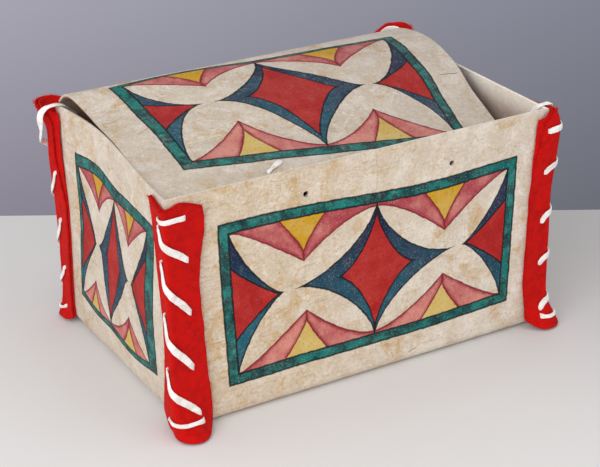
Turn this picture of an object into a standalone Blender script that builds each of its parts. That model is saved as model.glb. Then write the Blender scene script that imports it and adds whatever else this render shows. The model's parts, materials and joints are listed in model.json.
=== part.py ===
"""Painted rawhide box: folded hide walls, a hide lid on its own fold, cloth corner strips, laced thongs.

Metres, +Z up. The box stands on the plane Z = 0 with its long side along X and its front toward -Y.
The lid is shown closed, its front edge tucked behind the front wall, deeper at the right than at the left.
"""
import math

import bmesh
import bpy
from mathutils import Matrix, Vector

# Box
BOX_WIDTH = 0.360
BOX_DEPTH = 0.240
WALL_HEIGHT = 0.210
HIDE = 0.0024
FOLD_RADIUS = 0.010
CREASE_GAP = 0.0003
MITRE_SHARE = 0.75
FOLD_STEPS = 5
WALL_ROWS = [0.035, 0.08, 0.15, 0.25, 0.40, 0.65, 0.80, 0.92, 1.0]

# Warp of the left end: its front corner stands out, and its top edge bows inward
FLARE = 0.0115
FLARE_RISE = 0.014
FLARE_TOP = 0.003
END_BOW = 0.009
BOW_POWER = 4
BOW_SKEW = 0.65
WARP_COLUMNS = 14
WARP_EDGE = 0.03

# Lid
LID_BACK_RIGHT = 0.0010
LID_FRONT_RIGHT = 0.0216
LID_SIDE_GAP = 0.0010
LID_FRONT_GAP_LEFT = 0.0026
LID_FRONT_GAP_RIGHT = 0.0050
LID_COLUMNS = 9
LID_ROWS = 26
LID_ROW_PACKING = 0.45
# Share of the way from the fold to the front edge, and rise of the sheet's middle above the fold
LID_LEFT_PROFILE = [(0.0, 0.0), (0.04, 0.0053), (0.09, 0.0073), (0.20, 0.0038), (0.31, -0.0002),
                    (0.45, -0.0022), (0.62, -0.0047), (0.80, -0.0072), (1.0, -0.0117)]
LID_RIGHT_PROFILE = [(0.0, 0.0), (0.04, 0.0043), (0.15, 0.0102), (0.30, 0.0139), (0.43, 0.0101),
                     (0.53, 0.0026), (0.63, -0.0100), (0.74, -0.0198), (0.84, -0.0283), (1.0, -0.0387)]

# Tie holes in the front wall: X and depth under the wall's top
TIE_HOLE_RADIUS = 0.0023
TIE_HOLES = {"left": (-0.0663, 0.0237), "right": (0.0782, 0.0288)}

# Tie thongs on the lid: X of the slit, its distance from the lid's front edge, the length that lies on the
# lid and the way it points, from +X toward the back
TIES = {
    "left": dict(x=-0.0850, inset=0.0300, length=0.0270, heading=math.radians(34)),
    "right": dict(x=0.0590, inset=0.0300, length=0.0200, heading=math.radians(-15)),
}
TIE_WIDTH = 0.0052
TIE_SLIT_RADIUS = 0.0025
TIE_SHARES = [0.3, 0.65, 1.0]

# Corner cloths: two layers of one folded strip
CLOTH = 0.0017
CLOTH_LAYER_GAP = 0.0007
CLOTH_GAP = 0.0004
CLOTH_BULGE = 0.0012
CLOTH_FOOT = 0.0016
CLOTH_ROWS = [0.0, 0.03, 0.07, 0.12, 0.20, 0.34, 0.50, 0.62, 0.72, 0.80, 0.87, 0.94, 1.0]
CLOTH_LEG_SHARES = [1.0, 0.5, 0.08]
CLOTH_TURNS = [15, 45, 75]
CLOTH_FACET = 0.0036
LAYER_SLACK = 0.0006
TOP_PLACES = [0.0, 0.3, 0.55, 1.0]
LEAN_STEP = 0.002
TURN_STEP = 8
MOST_SLANT = 3.0

# Lacing: one flat thong for each corner
THONG_WIDTH = 0.0056
THONG = 0.0018
THONG_NECK_WIDTH = 0.0034
THONG_INSIDE_WIDTH = 0.0046
THONG_GAP = 0.00055
THONG_TURN_GAP = 0.0010
THONG_BEND = 0.0022
THONG_STRAIGHT = math.radians(155)
THONG_SIDE_LIMIT = 0.25
THONG_SECTION = [(1.0, 0.0), (0.72, 1.0), (-0.72, 1.0), (-1.0, 0.0), (-0.72, -1.0), (0.72, -1.0)]
# Stations of a stitch: leg or turn in degrees, place on it, and share of the stitch's drop
STITCH_STEPS = [("end", 0.5, 0.20), ("turn", 8, 0.38), ("turn", 34, 0.46), ("turn", 60, 0.54),
                ("turn", 84, 0.62), ("long", 0.5, 0.80)]
KNOT = 0.0048
KNOT_DEEP_SHARE = 0.9
# Rings of a knot: share of its length off the face, and share of its width
KNOT_RINGS = [(1.0, 0.35), (0.85, 0.80), (0.5, 1.0), (0.15, 0.80), (0.0, 0.60)]
LACE_HOLE_RADIUS = 0.0026
HOLE_SIDES = 6
CUT_MARGIN = 0.003

# Each corner: sides of the box it lies on, and which of its two legs holds the strip's fold. Its edges are
# their distances from the corner up the wall, its stands how far it bellies off the wall, its laps how far
# its inner layer shows beyond its outer one, all at shares of the wall's height. Its lobes are the share of
# the belly at the corner and at the edge, and its tops how far it ends over the wall's top, from the long
# wall's edge to the end wall's edge. Its holes are the lace holes' distances from the corner on the long
# wall and on the end wall, its levels their depths as shares of the wall's height. The thong starts at a
# knot behind the top hole, at a knot of its own (distance and depth on the long or end wall) and over the
# end wall's top, or as a tail tucked under the strip's top
CORNERS = {
    "front_left": dict(
        side=(-1, -1), fold="end", lobes=((1.0, 0.05), (0.42, 0.15)),
        long_edge=[(0.0, 0.0200), (0.10, 0.0285), (0.30, 0.0280), (0.68, 0.0250), (0.89, 0.0325),
                   (1.0, 0.0305)],
        end_edge=[(0.0, 0.0220), (0.07, 0.0200), (0.20, 0.0130), (0.43, 0.0090), (0.65, 0.0140),
                  (1.0, 0.0205)],
        stands=[(0.0, 0.0225), (0.065, 0.0110), (0.13, 0.0040), (0.22, 0.0008), (0.50, 0.0), (1.0, 0.0010)],
        laps=[(0.0, 0.0), (0.90, 0.0), (1.0, 0.0060)], tops=(-0.0095, -0.0030, -0.0060, -0.0020),
        holes=(0.0150, 0.0046), levels=(0.074, 0.252, 0.475, 0.713, 0.935), start="behind", foot_dip=0.0040),
    "front_right": dict(
        side=(1, -1), fold="end", lobes=((1.0, 0.05), (0.9, 0.1)),
        long_edge=[(0.0, 0.0150), (0.08, 0.0180), (0.25, 0.0208), (0.55, 0.0185), (0.80, 0.0155),
                   (1.0, 0.0125)],
        end_edge=[(0.0, 0.0290), (0.5, 0.0310), (1.0, 0.0310)],
        stands=[(0.0, 0.0150), (0.05, 0.0095), (0.11, 0.0030), (0.20, 0.0), (0.62, 0.0), (0.80, 0.0038),
                (0.94, 0.0055), (1.0, 0.0010)],
        laps=[(0.0, 0.0), (0.70, 0.0), (0.90, 0.0040), (1.0, 0.0045)], tops=(-0.0080, -0.0050, 0.0, -0.0040),
        holes=(0.0058, 0.0160), levels=(0.082, 0.272, 0.500, 0.697, 0.936), start=("end", 0.0245, 0.0145),
        foot_dip=0.0010),
    "back_left": dict(
        side=(-1, 1), fold="long", lobes=((1.0, 0.05), (1.0, 0.05)),
        long_edge=[(0.0, 0.0290), (0.5, 0.0280), (1.0, 0.0290)],
        end_edge=[(0.0, 0.0190), (0.12, 0.0165), (0.55, 0.0195), (0.75, 0.0125), (1.0, 0.0090)],
        stands=[(0.0, 0.0060), (0.06, 0.0020), (0.14, 0.0), (0.45, 0.0005), (0.75, 0.0038), (0.90, 0.0045),
                (1.0, 0.0130)],
        laps=[(0.0, 0.0), (0.55, 0.0), (0.75, 0.0045), (1.0, 0.0030)], tops=(-0.0015, 0.0, 0.0030, -0.0060),
        holes=(0.0150, 0.0070), levels=(0.293, 0.514, 0.743, 0.931), start=("long", 0.020, 0.014),
        slack=0.0100, foot_dip=0.0040),
    "back_right": dict(
        side=(1, 1), fold="long", lobes=((1.0, 0.05), (1.0, 0.05)),
        long_edge=[(0.0, 0.0290), (0.5, 0.0280), (1.0, 0.0290)],
        end_edge=[(0.0, 0.0200), (0.12, 0.0180), (0.55, 0.0195), (1.0, 0.0180)],
        stands=[(0.0, 0.0060), (0.06, 0.0020), (0.14, 0.0), (0.60, 0.0), (0.78, 0.0020), (0.90, 0.0075),
                (1.0, 0.0120)],
        laps=[(0.0, 0.0), (0.55, 0.0), (1.0, 0.0040)], tops=(-0.0015, 0.0020, 0.0060, -0.0020),
        holes=(0.0150, 0.0070), levels=(0.033, 0.293, 0.514, 0.743, 0.931), start="tucked",
        foot_dip=0.0040),
}
OVER_TOP_INSET = 0.0085
TURN_BACK = 0.0062
# The tail tucked under a strip's top: how far off the wall, and its height over the wall's top at its free
# end and at the corner
TAIL_OFF = 0.0074
TAIL_REACH = 0.0125
TAIL_END_RISE = 0.0004
TAIL_RISE = 0.0026
# Turns of the tail around the corner, and share of its way down to the hole there and halfway along the end
TAIL_TURNS = [(80, 0.02), (50, 0.12), (20, 0.32)]
TAIL_END_SHARE = 0.7

# Looks
HIDE_COLOUR = (0.70, 0.63, 0.55)
HIDE_ROUGHNESS = 0.62
CLOTH_COLOUR = (0.53, 0.006, 0.008)
CLOTH_ROUGHNESS = 0.95
THONG_COLOUR = (0.80, 0.77, 0.76)
THONG_ROUGHNESS = 0.70

# Directions and derived places
UP = Vector((0, 0, 1))
ALONG_END = Vector((0, 1, 0))
HALF_WIDTH = BOX_WIDTH / 2
HALF_DEPTH = BOX_DEPTH / 2
HINGE = Vector((0.0, HALF_DEPTH - HIDE / 2, WALL_HEIGHT + CREASE_GAP + HIDE / 2))
CLOTH_INNER = CLOTH_GAP + CLOTH / 2
CLOTH_OUTER = CLOTH_INNER + CLOTH + CLOTH_LAYER_GAP
CLOTH_FACE = CLOTH_OUTER + CLOTH / 2
LACE_OUT = CLOTH_FACE + THONG_GAP + THONG / 2
LACE_IN = -(HIDE + THONG_GAP + THONG / 2)
LACE_TURN = THONG_TURN_GAP + THONG / 2


# Scene and materials

def clear_scene():
    for obj in list(bpy.data.objects):
        bpy.data.objects.remove(obj, do_unlink=True)


def material(name, colour, roughness):
    made = bpy.data.materials.new(name)
    made.use_nodes = True
    shader = made.node_tree.nodes["Principled BSDF"]
    shader.inputs["Base Color"].default_value = (*colour, 1.0)
    shader.inputs["Roughness"].default_value = roughness
    shader.inputs["Metallic"].default_value = 0.0
    return made


def add_object(name, build, look=None, origin=None, parent=None):
    """Make an object from a bmesh in world coordinates, with its own origin or under its parent's axis."""
    bmesh.ops.recalc_face_normals(build, faces=build.faces)
    if origin is not None:
        bmesh.ops.translate(build, verts=build.verts, vec=-origin)
    mesh = bpy.data.meshes.new(name)
    build.to_mesh(mesh)
    build.free()
    obj = bpy.data.objects.new(name, mesh)
    bpy.context.scene.collection.objects.link(obj)
    if look is not None:
        mesh.materials.append(look)
    if parent is not None:
        obj.parent = parent
    elif origin is not None:
        obj.location = origin
    return obj


def round_shading(obj, angle=40):
    obj.data.shade_smooth()
    obj.data.set_sharp_from_angle(angle=math.radians(angle))


def cut(obj, cutter):
    modifier = obj.modifiers.new("holes", "BOOLEAN")
    modifier.operation = "DIFFERENCE"
    modifier.solver = "EXACT"
    modifier.object = cutter


# Small geometry helpers

def mix(a, b, share):
    return a + (b - a) * share


def smooth_curve(points, share):
    """Height of a smooth curve through a list of (share, height) points."""
    last = len(points) - 1

    def slope(i):
        low = points[max(i - 1, 0)]
        high = points[min(i + 1, last)]
        return (high[1] - low[1]) / (high[0] - low[0])

    for i in range(last):
        x0, y0 = points[i]
        x1, y1 = points[i + 1]
        if share <= x1 or i == last - 1:
            run = x1 - x0
            t = (share - x0) / run
            h00 = (1 + 2 * t) * (1 - t) ** 2
            h01 = t * t * (3 - 2 * t)
            h10 = t * (1 - t) ** 2
            h11 = t * t * (t - 1)
            return h00 * y0 + h01 * y1 + (h10 * slope(i) + h11 * slope(i + 1)) * run


def facets(a, b, c, d, flip):
    """Two triangles of a four-sided patch, split one way or the other."""
    return ((a, b, d), (b, c, d)) if flip else ((a, b, c), (a, c, d))


def shell(outer, inner, folded=False):
    """One closed solid between two grids of points that match row by row. A folded one is cut into triangles
    that lie alike in its two layers."""
    build = bmesh.new()
    rows = len(outer)
    columns = len(outer[0])
    top = [[build.verts.new(p) for p in row] for row in outer]
    low = [[build.verts.new(p) for p in row] for row in inner]
    for i in range(rows - 1):
        for j in range(columns - 1):
            upper = (top[i][j], top[i + 1][j], top[i + 1][j + 1], top[i][j + 1])
            lower = (low[i][j], low[i][j + 1], low[i + 1][j + 1], low[i + 1][j])
            flip = j >= (columns - 1) // 2
            patches = facets(*upper, flip) + facets(*lower, flip) if folded else (upper, lower)
            for patch in patches:
                build.faces.new(patch)
    for i in range(rows - 1):
        build.faces.new((top[i][0], low[i][0], low[i + 1][0], top[i + 1][0]))
        build.faces.new((top[i][-1], top[i + 1][-1], low[i + 1][-1], low[i][-1]))
    for j in range(columns - 1):
        build.faces.new((top[0][j], top[0][j + 1], low[0][j + 1], low[0][j]))
        build.faces.new((top[-1][j], low[-1][j], low[-1][j + 1], top[-1][j + 1]))
    return build


def sheet_sides(grid, thickness):
    """Two grids, half the thickness to either side of a middle grid."""
    rows = len(grid)
    columns = len(grid[0])
    upper = []
    lower = []
    for i in range(rows):
        upper.append([])
        lower.append([])
        for j in range(columns):
            along = grid[min(i + 1, rows - 1)][j] - grid[max(i - 1, 0)][j]
            across = grid[i][min(j + 1, columns - 1)] - grid[i][max(j - 1, 0)]
            normal = across.cross(along).normalized()
            upper[i].append(grid[i][j] + normal * thickness / 2)
            lower[i].append(grid[i][j] - normal * thickness / 2)
    return upper, lower


def rod(build, start, end, radius, sides):
    """Add a straight round rod, used to cut holes."""
    axis = end - start
    turn = axis.to_track_quat("Z", "Y").to_matrix().to_4x4()
    place = Matrix.Translation((start + end) / 2) @ turn
    bmesh.ops.create_cone(build, cap_ends=True, segments=sides, radius1=radius, radius2=radius,
                          depth=axis.length, matrix=place)


def cutter_object(name, rods):
    build = bmesh.new()
    for start, end, radius in rods:
        rod(build, start, end, radius, HOLE_SIDES)
    obj = add_object(name, build)
    obj.hide_render = True
    obj.display_type = "WIRE"
    return obj


# Shape of the box walls

def flare(height):
    """How far the left end's front corner stands out at a height."""
    risen = 1 - math.exp(-height / FLARE_RISE)
    return FLARE * risen + FLARE_TOP * (height / WALL_HEIGHT) ** BOW_POWER


def end_outside(side, y, height):
    """X of an end wall's outer face."""
    if side > 0:
        return HALF_WIDTH
    forward = (HALF_DEPTH - y) / BOX_DEPTH
    inside = min(max(forward, 0.0), 1.0)
    bow = END_BOW * math.sin(math.pi * inside ** BOW_SKEW) ** 2 * (height / WALL_HEIGHT) ** BOW_POWER
    return -(HALF_WIDTH + flare(height) * forward) + bow


def wall_profile():
    """Inward offset and height of a wall's outer and inner faces, from its foot to its top."""
    outer = []
    inner = []
    for step in range(FOLD_STEPS + 1):
        angle = math.pi / 2 * step / FOLD_STEPS
        outer.append((FOLD_RADIUS * (1 - math.sin(angle)), FOLD_RADIUS * (1 - math.cos(angle))))
        bore = FOLD_RADIUS - HIDE
        inner.append((FOLD_RADIUS - bore * math.sin(angle), FOLD_RADIUS - bore * math.cos(angle)))
    for share in WALL_ROWS:
        height = mix(FOLD_RADIUS, WALL_HEIGHT, share)
        outer.append((0.0, height))
        inner.append((HIDE, height))
    return outer, inner


def long_wall_point(side, share, inset, height):
    """A point of the front or back wall, share running from the left end to the right."""
    y = side * (HALF_DEPTH - inset)
    gap = CREASE_GAP * MITRE_SHARE
    left = end_outside(-1, side * HALF_DEPTH, height) + inset + gap
    right = HALF_WIDTH - inset - gap
    return Vector((mix(left, right, share), y, height))


def end_wall_point(side, share, inset, height):
    """A point of an end wall, share running from the back to the front."""
    reach = HALF_DEPTH - inset - CREASE_GAP * MITRE_SHARE
    y = mix(reach, -reach, share)
    return Vector((end_outside(side, y, height) - side * inset, y, height))


def wall_solid(point, side, shares):
    outer, inner = wall_profile()
    outside = [[point(side, share, a, z) for a, z in outer] for share in shares]
    inside = [[point(side, share, a, z) for a, z in inner] for share in shares]
    return shell(outside, inside)


def bottom_solid():
    """The flat of the bottom, between the four bottom folds."""
    edge = 2 * (FOLD_RADIUS + CREASE_GAP)
    build = bmesh.new()
    bmesh.ops.create_cube(build, size=1.0)
    bmesh.ops.scale(build, verts=build.verts, vec=Vector((BOX_WIDTH - edge, BOX_DEPTH - edge, HIDE)))
    bmesh.ops.translate(build, verts=build.verts, vec=UP * HIDE / 2)
    return build


# Lid

def lid_edge(side, share):
    """Middle of the hide sheet along the lid's left or right edge."""
    if side < 0:
        y = mix(HINGE.y, LID_FRONT_GAP_LEFT + HIDE - HALF_DEPTH, share)
        wall = end_outside(-1, y, WALL_HEIGHT) + HIDE
        return Vector((wall + LID_SIDE_GAP, y, HINGE.z + smooth_curve(LID_LEFT_PROFILE, share)))
    y = mix(HINGE.y, LID_FRONT_GAP_RIGHT + HIDE - HALF_DEPTH, share)
    inset = mix(LID_BACK_RIGHT, LID_FRONT_RIGHT, share)
    return Vector((HALF_WIDTH - HIDE - inset, y, HINGE.z + smooth_curve(LID_RIGHT_PROFILE, share)))


def lid_middle(across, share):
    return mix(lid_edge(-1, share), lid_edge(1, share), across)


def lid_frame(across, share):
    """Point, upward normal and forward direction of the lid's middle sheet."""
    step = 0.002
    here = lid_middle(across, share)
    forward = lid_middle(across, min(share + step, 1.0)) - lid_middle(across, max(share - step, 0.0))
    aside = lid_middle(min(across + step, 1.0), share) - lid_middle(max(across - step, 0.0), share)
    normal = forward.cross(aside).normalized()
    if normal.z < 0:
        normal = -normal
    return here, normal, forward.normalized()


def lid_share(row):
    """Rows lie closer together near the fold."""
    t = row / (LID_ROWS - 1)
    return t * mix(LID_ROW_PACKING, 1.0, t)


def lid_solid():
    build = bmesh.new()
    rings = []
    for column in range(LID_COLUMNS):
        across = column / (LID_COLUMNS - 1)
        upper = []
        lower = []
        for row in range(LID_ROWS):
            here, normal, forward = lid_frame(across, lid_share(row))
            if row == 0:
                start = (here, normal, forward)
            upper.append(here + normal * HIDE / 2)
            lower.append(here - normal * HIDE / 2)
        here, normal, forward = start
        back = []
        for step in (1, 2, 3):
            angle = math.pi * step / 4
            back.append(here - (normal * math.cos(angle) + forward * math.sin(angle)) * HIDE / 2)
        rings.append([build.verts.new(p) for p in upper + lower[::-1] + back])
    count = len(rings[0])
    for a, b in zip(rings, rings[1:]):
        for k in range(count):
            n = (k + 1) % count
            build.faces.new((a[k], b[k], b[n], a[n]))
    last = 2 * LID_ROWS - 1
    for ring in (rings[0], rings[-1]):
        for k in range(LID_ROWS - 1):
            build.faces.new((ring[k], ring[k + 1], ring[last - k - 1], ring[last - k]))
        build.faces.new([ring[0]] + ring[last:])
    return build


# Corner frame: places around a corner by leg, distance along it, distance off the wall and height

class Corner:
    def __init__(self, name, spec):
        self.name = name
        self.sx, self.sy = spec["side"]
        self.edges = {"long": spec["long_edge"], "end": spec["end_edge"]}
        self.lobes = {"long": spec["lobes"][0], "end": spec["lobes"][1]}
        self.stands = spec["stands"]
        self.laps = spec["laps"]
        self.tops = list(zip(TOP_PLACES, spec["tops"]))
        self.fold = spec["fold"]
        self.open = "end" if self.fold == "long" else "long"
        self.holes = {"long": spec["holes"][0], "end": spec["holes"][1]}
        self.levels = [WALL_HEIGHT * (1 - depth) for depth in spec["levels"]]
        self.start = spec["start"]
        self.slack = spec.get("slack", 0.0)
        self.foot_dip = spec["foot_dip"]

    def risen(self, height):
        return min(max(height / WALL_HEIGHT, 0.0), 1.0)

    def edge(self, leg, height):
        """How far from the corner the strip's edge lies on one wall."""
        return smooth_curve(self.edges[leg], self.risen(height))

    def lap(self, height):
        return max(smooth_curve(self.laps, self.risen(height)), 0.0)

    def belly(self, kind, reach, height):
        """How far the strip stands off at a place on a leg, or at a turn in degrees, beyond its thickness."""
        stand = max(smooth_curve(self.stands, self.risen(height)), 0.0)
        if kind == "turn":
            share = reach / 90
            return stand * mix(self.lobes["end"][0], self.lobes["long"][0], share * share * (3 - 2 * share))
        near, far = self.lobes[kind]
        share = min(reach / self.edge(kind, height), 1.0)
        return stand * mix(near, far, share * share)

    def lean(self, kind, reach, height):
        """How fast the strip swells downward there, as a slope away from the vertical."""
        low = self.belly(kind, reach, height - LEAN_STEP)
        high = self.belly(kind, reach, height + LEAN_STEP)
        return (low - high) / (2 * LEAN_STEP)

    def slant(self, kind, reach, height):
        """How much further off the wall a layer lies there than it would over a strip that doesn't lean."""
        rise = self.lean(kind, reach, height)
        here = self.belly(kind, reach, height)
        if kind == "turn":
            near = self.belly(kind, reach - TURN_STEP, height)
            aside = (here - near) / (math.radians(TURN_STEP) * (CLOTH_INNER + here))
        else:
            near = self.belly(kind, max(reach - LEAN_STEP, 0.0), height)
            aside = (here - near) / LEAN_STEP
        return min(math.sqrt(1 + rise * rise + aside * aside), MOST_SLANT)

    def normal(self, kind, reach=0.0):
        if kind == "long":
            return Vector((0, self.sy, 0))
        if kind == "end":
            return Vector((self.sx, 0, 0))
        angle = math.radians(reach)
        return Vector((self.sx * math.cos(angle), self.sy * math.sin(angle), 0))

    def at(self, kind, reach, off, height):
        """A place on a leg, or around the corner: turn 0 is the end wall's side and 90 the long wall's."""
        if kind == "end":
            y = self.sy * (HALF_DEPTH - reach)
            return Vector((end_outside(self.sx, y, height) + self.sx * off, y, height))
        corner_x = end_outside(self.sx, self.sy * HALF_DEPTH, height)
        if kind == "long":
            return Vector((corner_x - self.sx * reach, self.sy * (HALF_DEPTH + off), height))
        angle = math.radians(reach)
        return Vector((corner_x + self.sx * off * math.cos(angle),
                       self.sy * (HALF_DEPTH + off * math.sin(angle)), height))


# Corner cloth

def cloth_top(corner, kind, share):
    """Height of the strip's upper end across the strip."""
    corner_place = TOP_PLACES[2]
    if kind == "long":
        place = corner_place * (1 - share)
    elif kind == "end":
        place = mix(corner_place, 1.0, share)
    else:
        place = corner_place
    return WALL_HEIGHT + smooth_curve(corner.tops, min(place, 1.0))


def cloth_section(corner):
    """Stations around the strip from its open edge, over the fold and back, each a leg with a share of it or
    a turn in degrees, how far past that it lies, how far off the wall, and whether a lap shortens it."""
    first = corner.open
    second = corner.fold
    turns = CLOTH_TURNS if first == "end" else CLOTH_TURNS[::-1]

    def layer(off, bulge, lapped):
        out = [(first, share, 0.0, off, lapped) for share in CLOTH_LEG_SHARES]
        out += [("turn", turn, 0.0, off + bulge * math.sin(math.radians(2 * turn)), False) for turn in turns]
        out += [(second, share, 0.0, off, False) for share in CLOTH_LEG_SHARES[::-1]]
        return out

    outer = layer(CLOTH_OUTER, CLOTH_BULGE, True)
    inner = layer(CLOTH_INNER, 0.0, False)
    half = (CLOTH_OUTER - CLOTH_INNER) / 2
    fold = []
    for step in (1, 2, 3):
        angle = math.pi * step / 4
        off = CLOTH_INNER + half + half * math.cos(angle)
        fold.append((second, 1.0, half * math.sin(angle), off, False))
    return outer + fold + inner[::-1]


def cloth_solid(corner):
    stations = cloth_section(corner)
    grid = []
    for row in CLOTH_ROWS:
        line = []
        for kind, share, beyond, off, lapped in stations:
            height = mix(CLOTH_FOOT, cloth_top(corner, kind, share), row)
            reach = share
            if kind != "turn":
                width = corner.edge(kind, height) - (corner.lap(height) if lapped else 0.0)
                reach = share * width + beyond
            slant = corner.slant(kind, reach, height)
            lift = (off - CLOTH_INNER) / (CLOTH_OUTER - CLOTH_INNER)
            over = (off - CLOTH_INNER) * slant + lift * LAYER_SLACK * (slant - 1)
            over += CLOTH_INNER + corner.belly(kind, reach, height)
            line.append(corner.at(kind, reach, over, height))
        grid.append(line)
    upper, lower = sheet_sides(grid, CLOTH)
    return shell(upper, lower, folded=True)


# Lacing

class Band:
    """A flat thong as key points: place, direction across its width, width and thickness."""

    def __init__(self):
        self.nodes = []

    def add(self, place, across, width, thick=THONG):
        across = across.normalized()
        if self.nodes and self.nodes[-1][1].dot(across) < 0:
            across = -across
        self.nodes.append((place, across, width, thick))

    def knot(self, face, way, across, first):
        """A thickened end against a face, first or last along the thong."""
        rings = KNOT_RINGS if first else KNOT_RINGS[::-1]
        for reach, size in rings:
            self.add(face + way * KNOT * reach, across, KNOT * size, KNOT * size * KNOT_DEEP_SHARE)

    def rounded(self):
        """The key points with each sharp bend turned into an arc."""
        nodes = self.nodes
        out = [nodes[0]]
        for before, here, after in zip(nodes, nodes[1:], nodes[2:]):
            back = before[0] - here[0]
            ahead = after[0] - here[0]
            if back.angle(ahead) > THONG_STRAIGHT:
                out.append(here)
                continue
            reach = min(THONG_BEND, back.length * 0.45, ahead.length * 0.45)
            enter = [mix(a, b, reach / back.length) for a, b in zip(here, before)]
            leave = [mix(a, b, reach / ahead.length) for a, b in zip(here, after)]
            middle = enter[0] * 0.25 + here[0] * 0.5 + leave[0] * 0.25
            out += [tuple(enter), (middle, *here[1:]), tuple(leave)]
        out.append(nodes[-1])
        return out

    def solid(self):
        rings = self.rounded()
        build = bmesh.new()
        loops = []
        last_side = None
        for i, (place, across, width, thick) in enumerate(rings):
            travel = rings[min(i + 1, len(rings) - 1)][0] - rings[max(i - 1, 0)][0]
            travel.normalize()
            side = across - travel * across.dot(travel)
            if last_side is not None:
                if side.length < THONG_SIDE_LIMIT:
                    side = last_side - travel * last_side.dot(travel)
                if side.dot(last_side) < 0:
                    side = -side
            side.normalize()
            last_side = side
            face = travel.cross(side)
            loop = []
            for turn, deep in THONG_SECTION:
                loop.append(build.verts.new(place + side * turn * width / 2 + face * deep * thick / 2))
            loops.append(loop)
        for a, b in zip(loops, loops[1:]):
            for k in range(len(a)):
                n = (k + 1) % len(a)
                build.faces.new((a[k], a[n], b[n], b[k]))
        build.faces.new(loops[0][::-1])
        build.faces.new(loops[-1])
        return build

    def least_gap(self):
        """Least distance between stretches of the thong that lie far apart along it."""

        def half_width(ring):
            return min(ring[2], THONG_NECK_WIDTH) / 2

        rings = self.rounded()
        lengths = [0.0]
        for a, b in zip(rings, rings[1:]):
            lengths.append(lengths[-1] + (b[0] - a[0]).length)
        least = 1.0
        for i, a in enumerate(rings):
            for j in range(i + 1, len(rings)):
                b = rings[j]
                apart = (a[0] - b[0]).length
                if lengths[j] - lengths[i] > 2.5 * apart + THONG_WIDTH:
                    least = min(least, apart - (half_width(a) + half_width(b)))
        return least

    def length(self):
        rings = self.rounded()
        return sum((b[0] - a[0]).length for a, b in zip(rings, rings[1:]))


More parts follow.
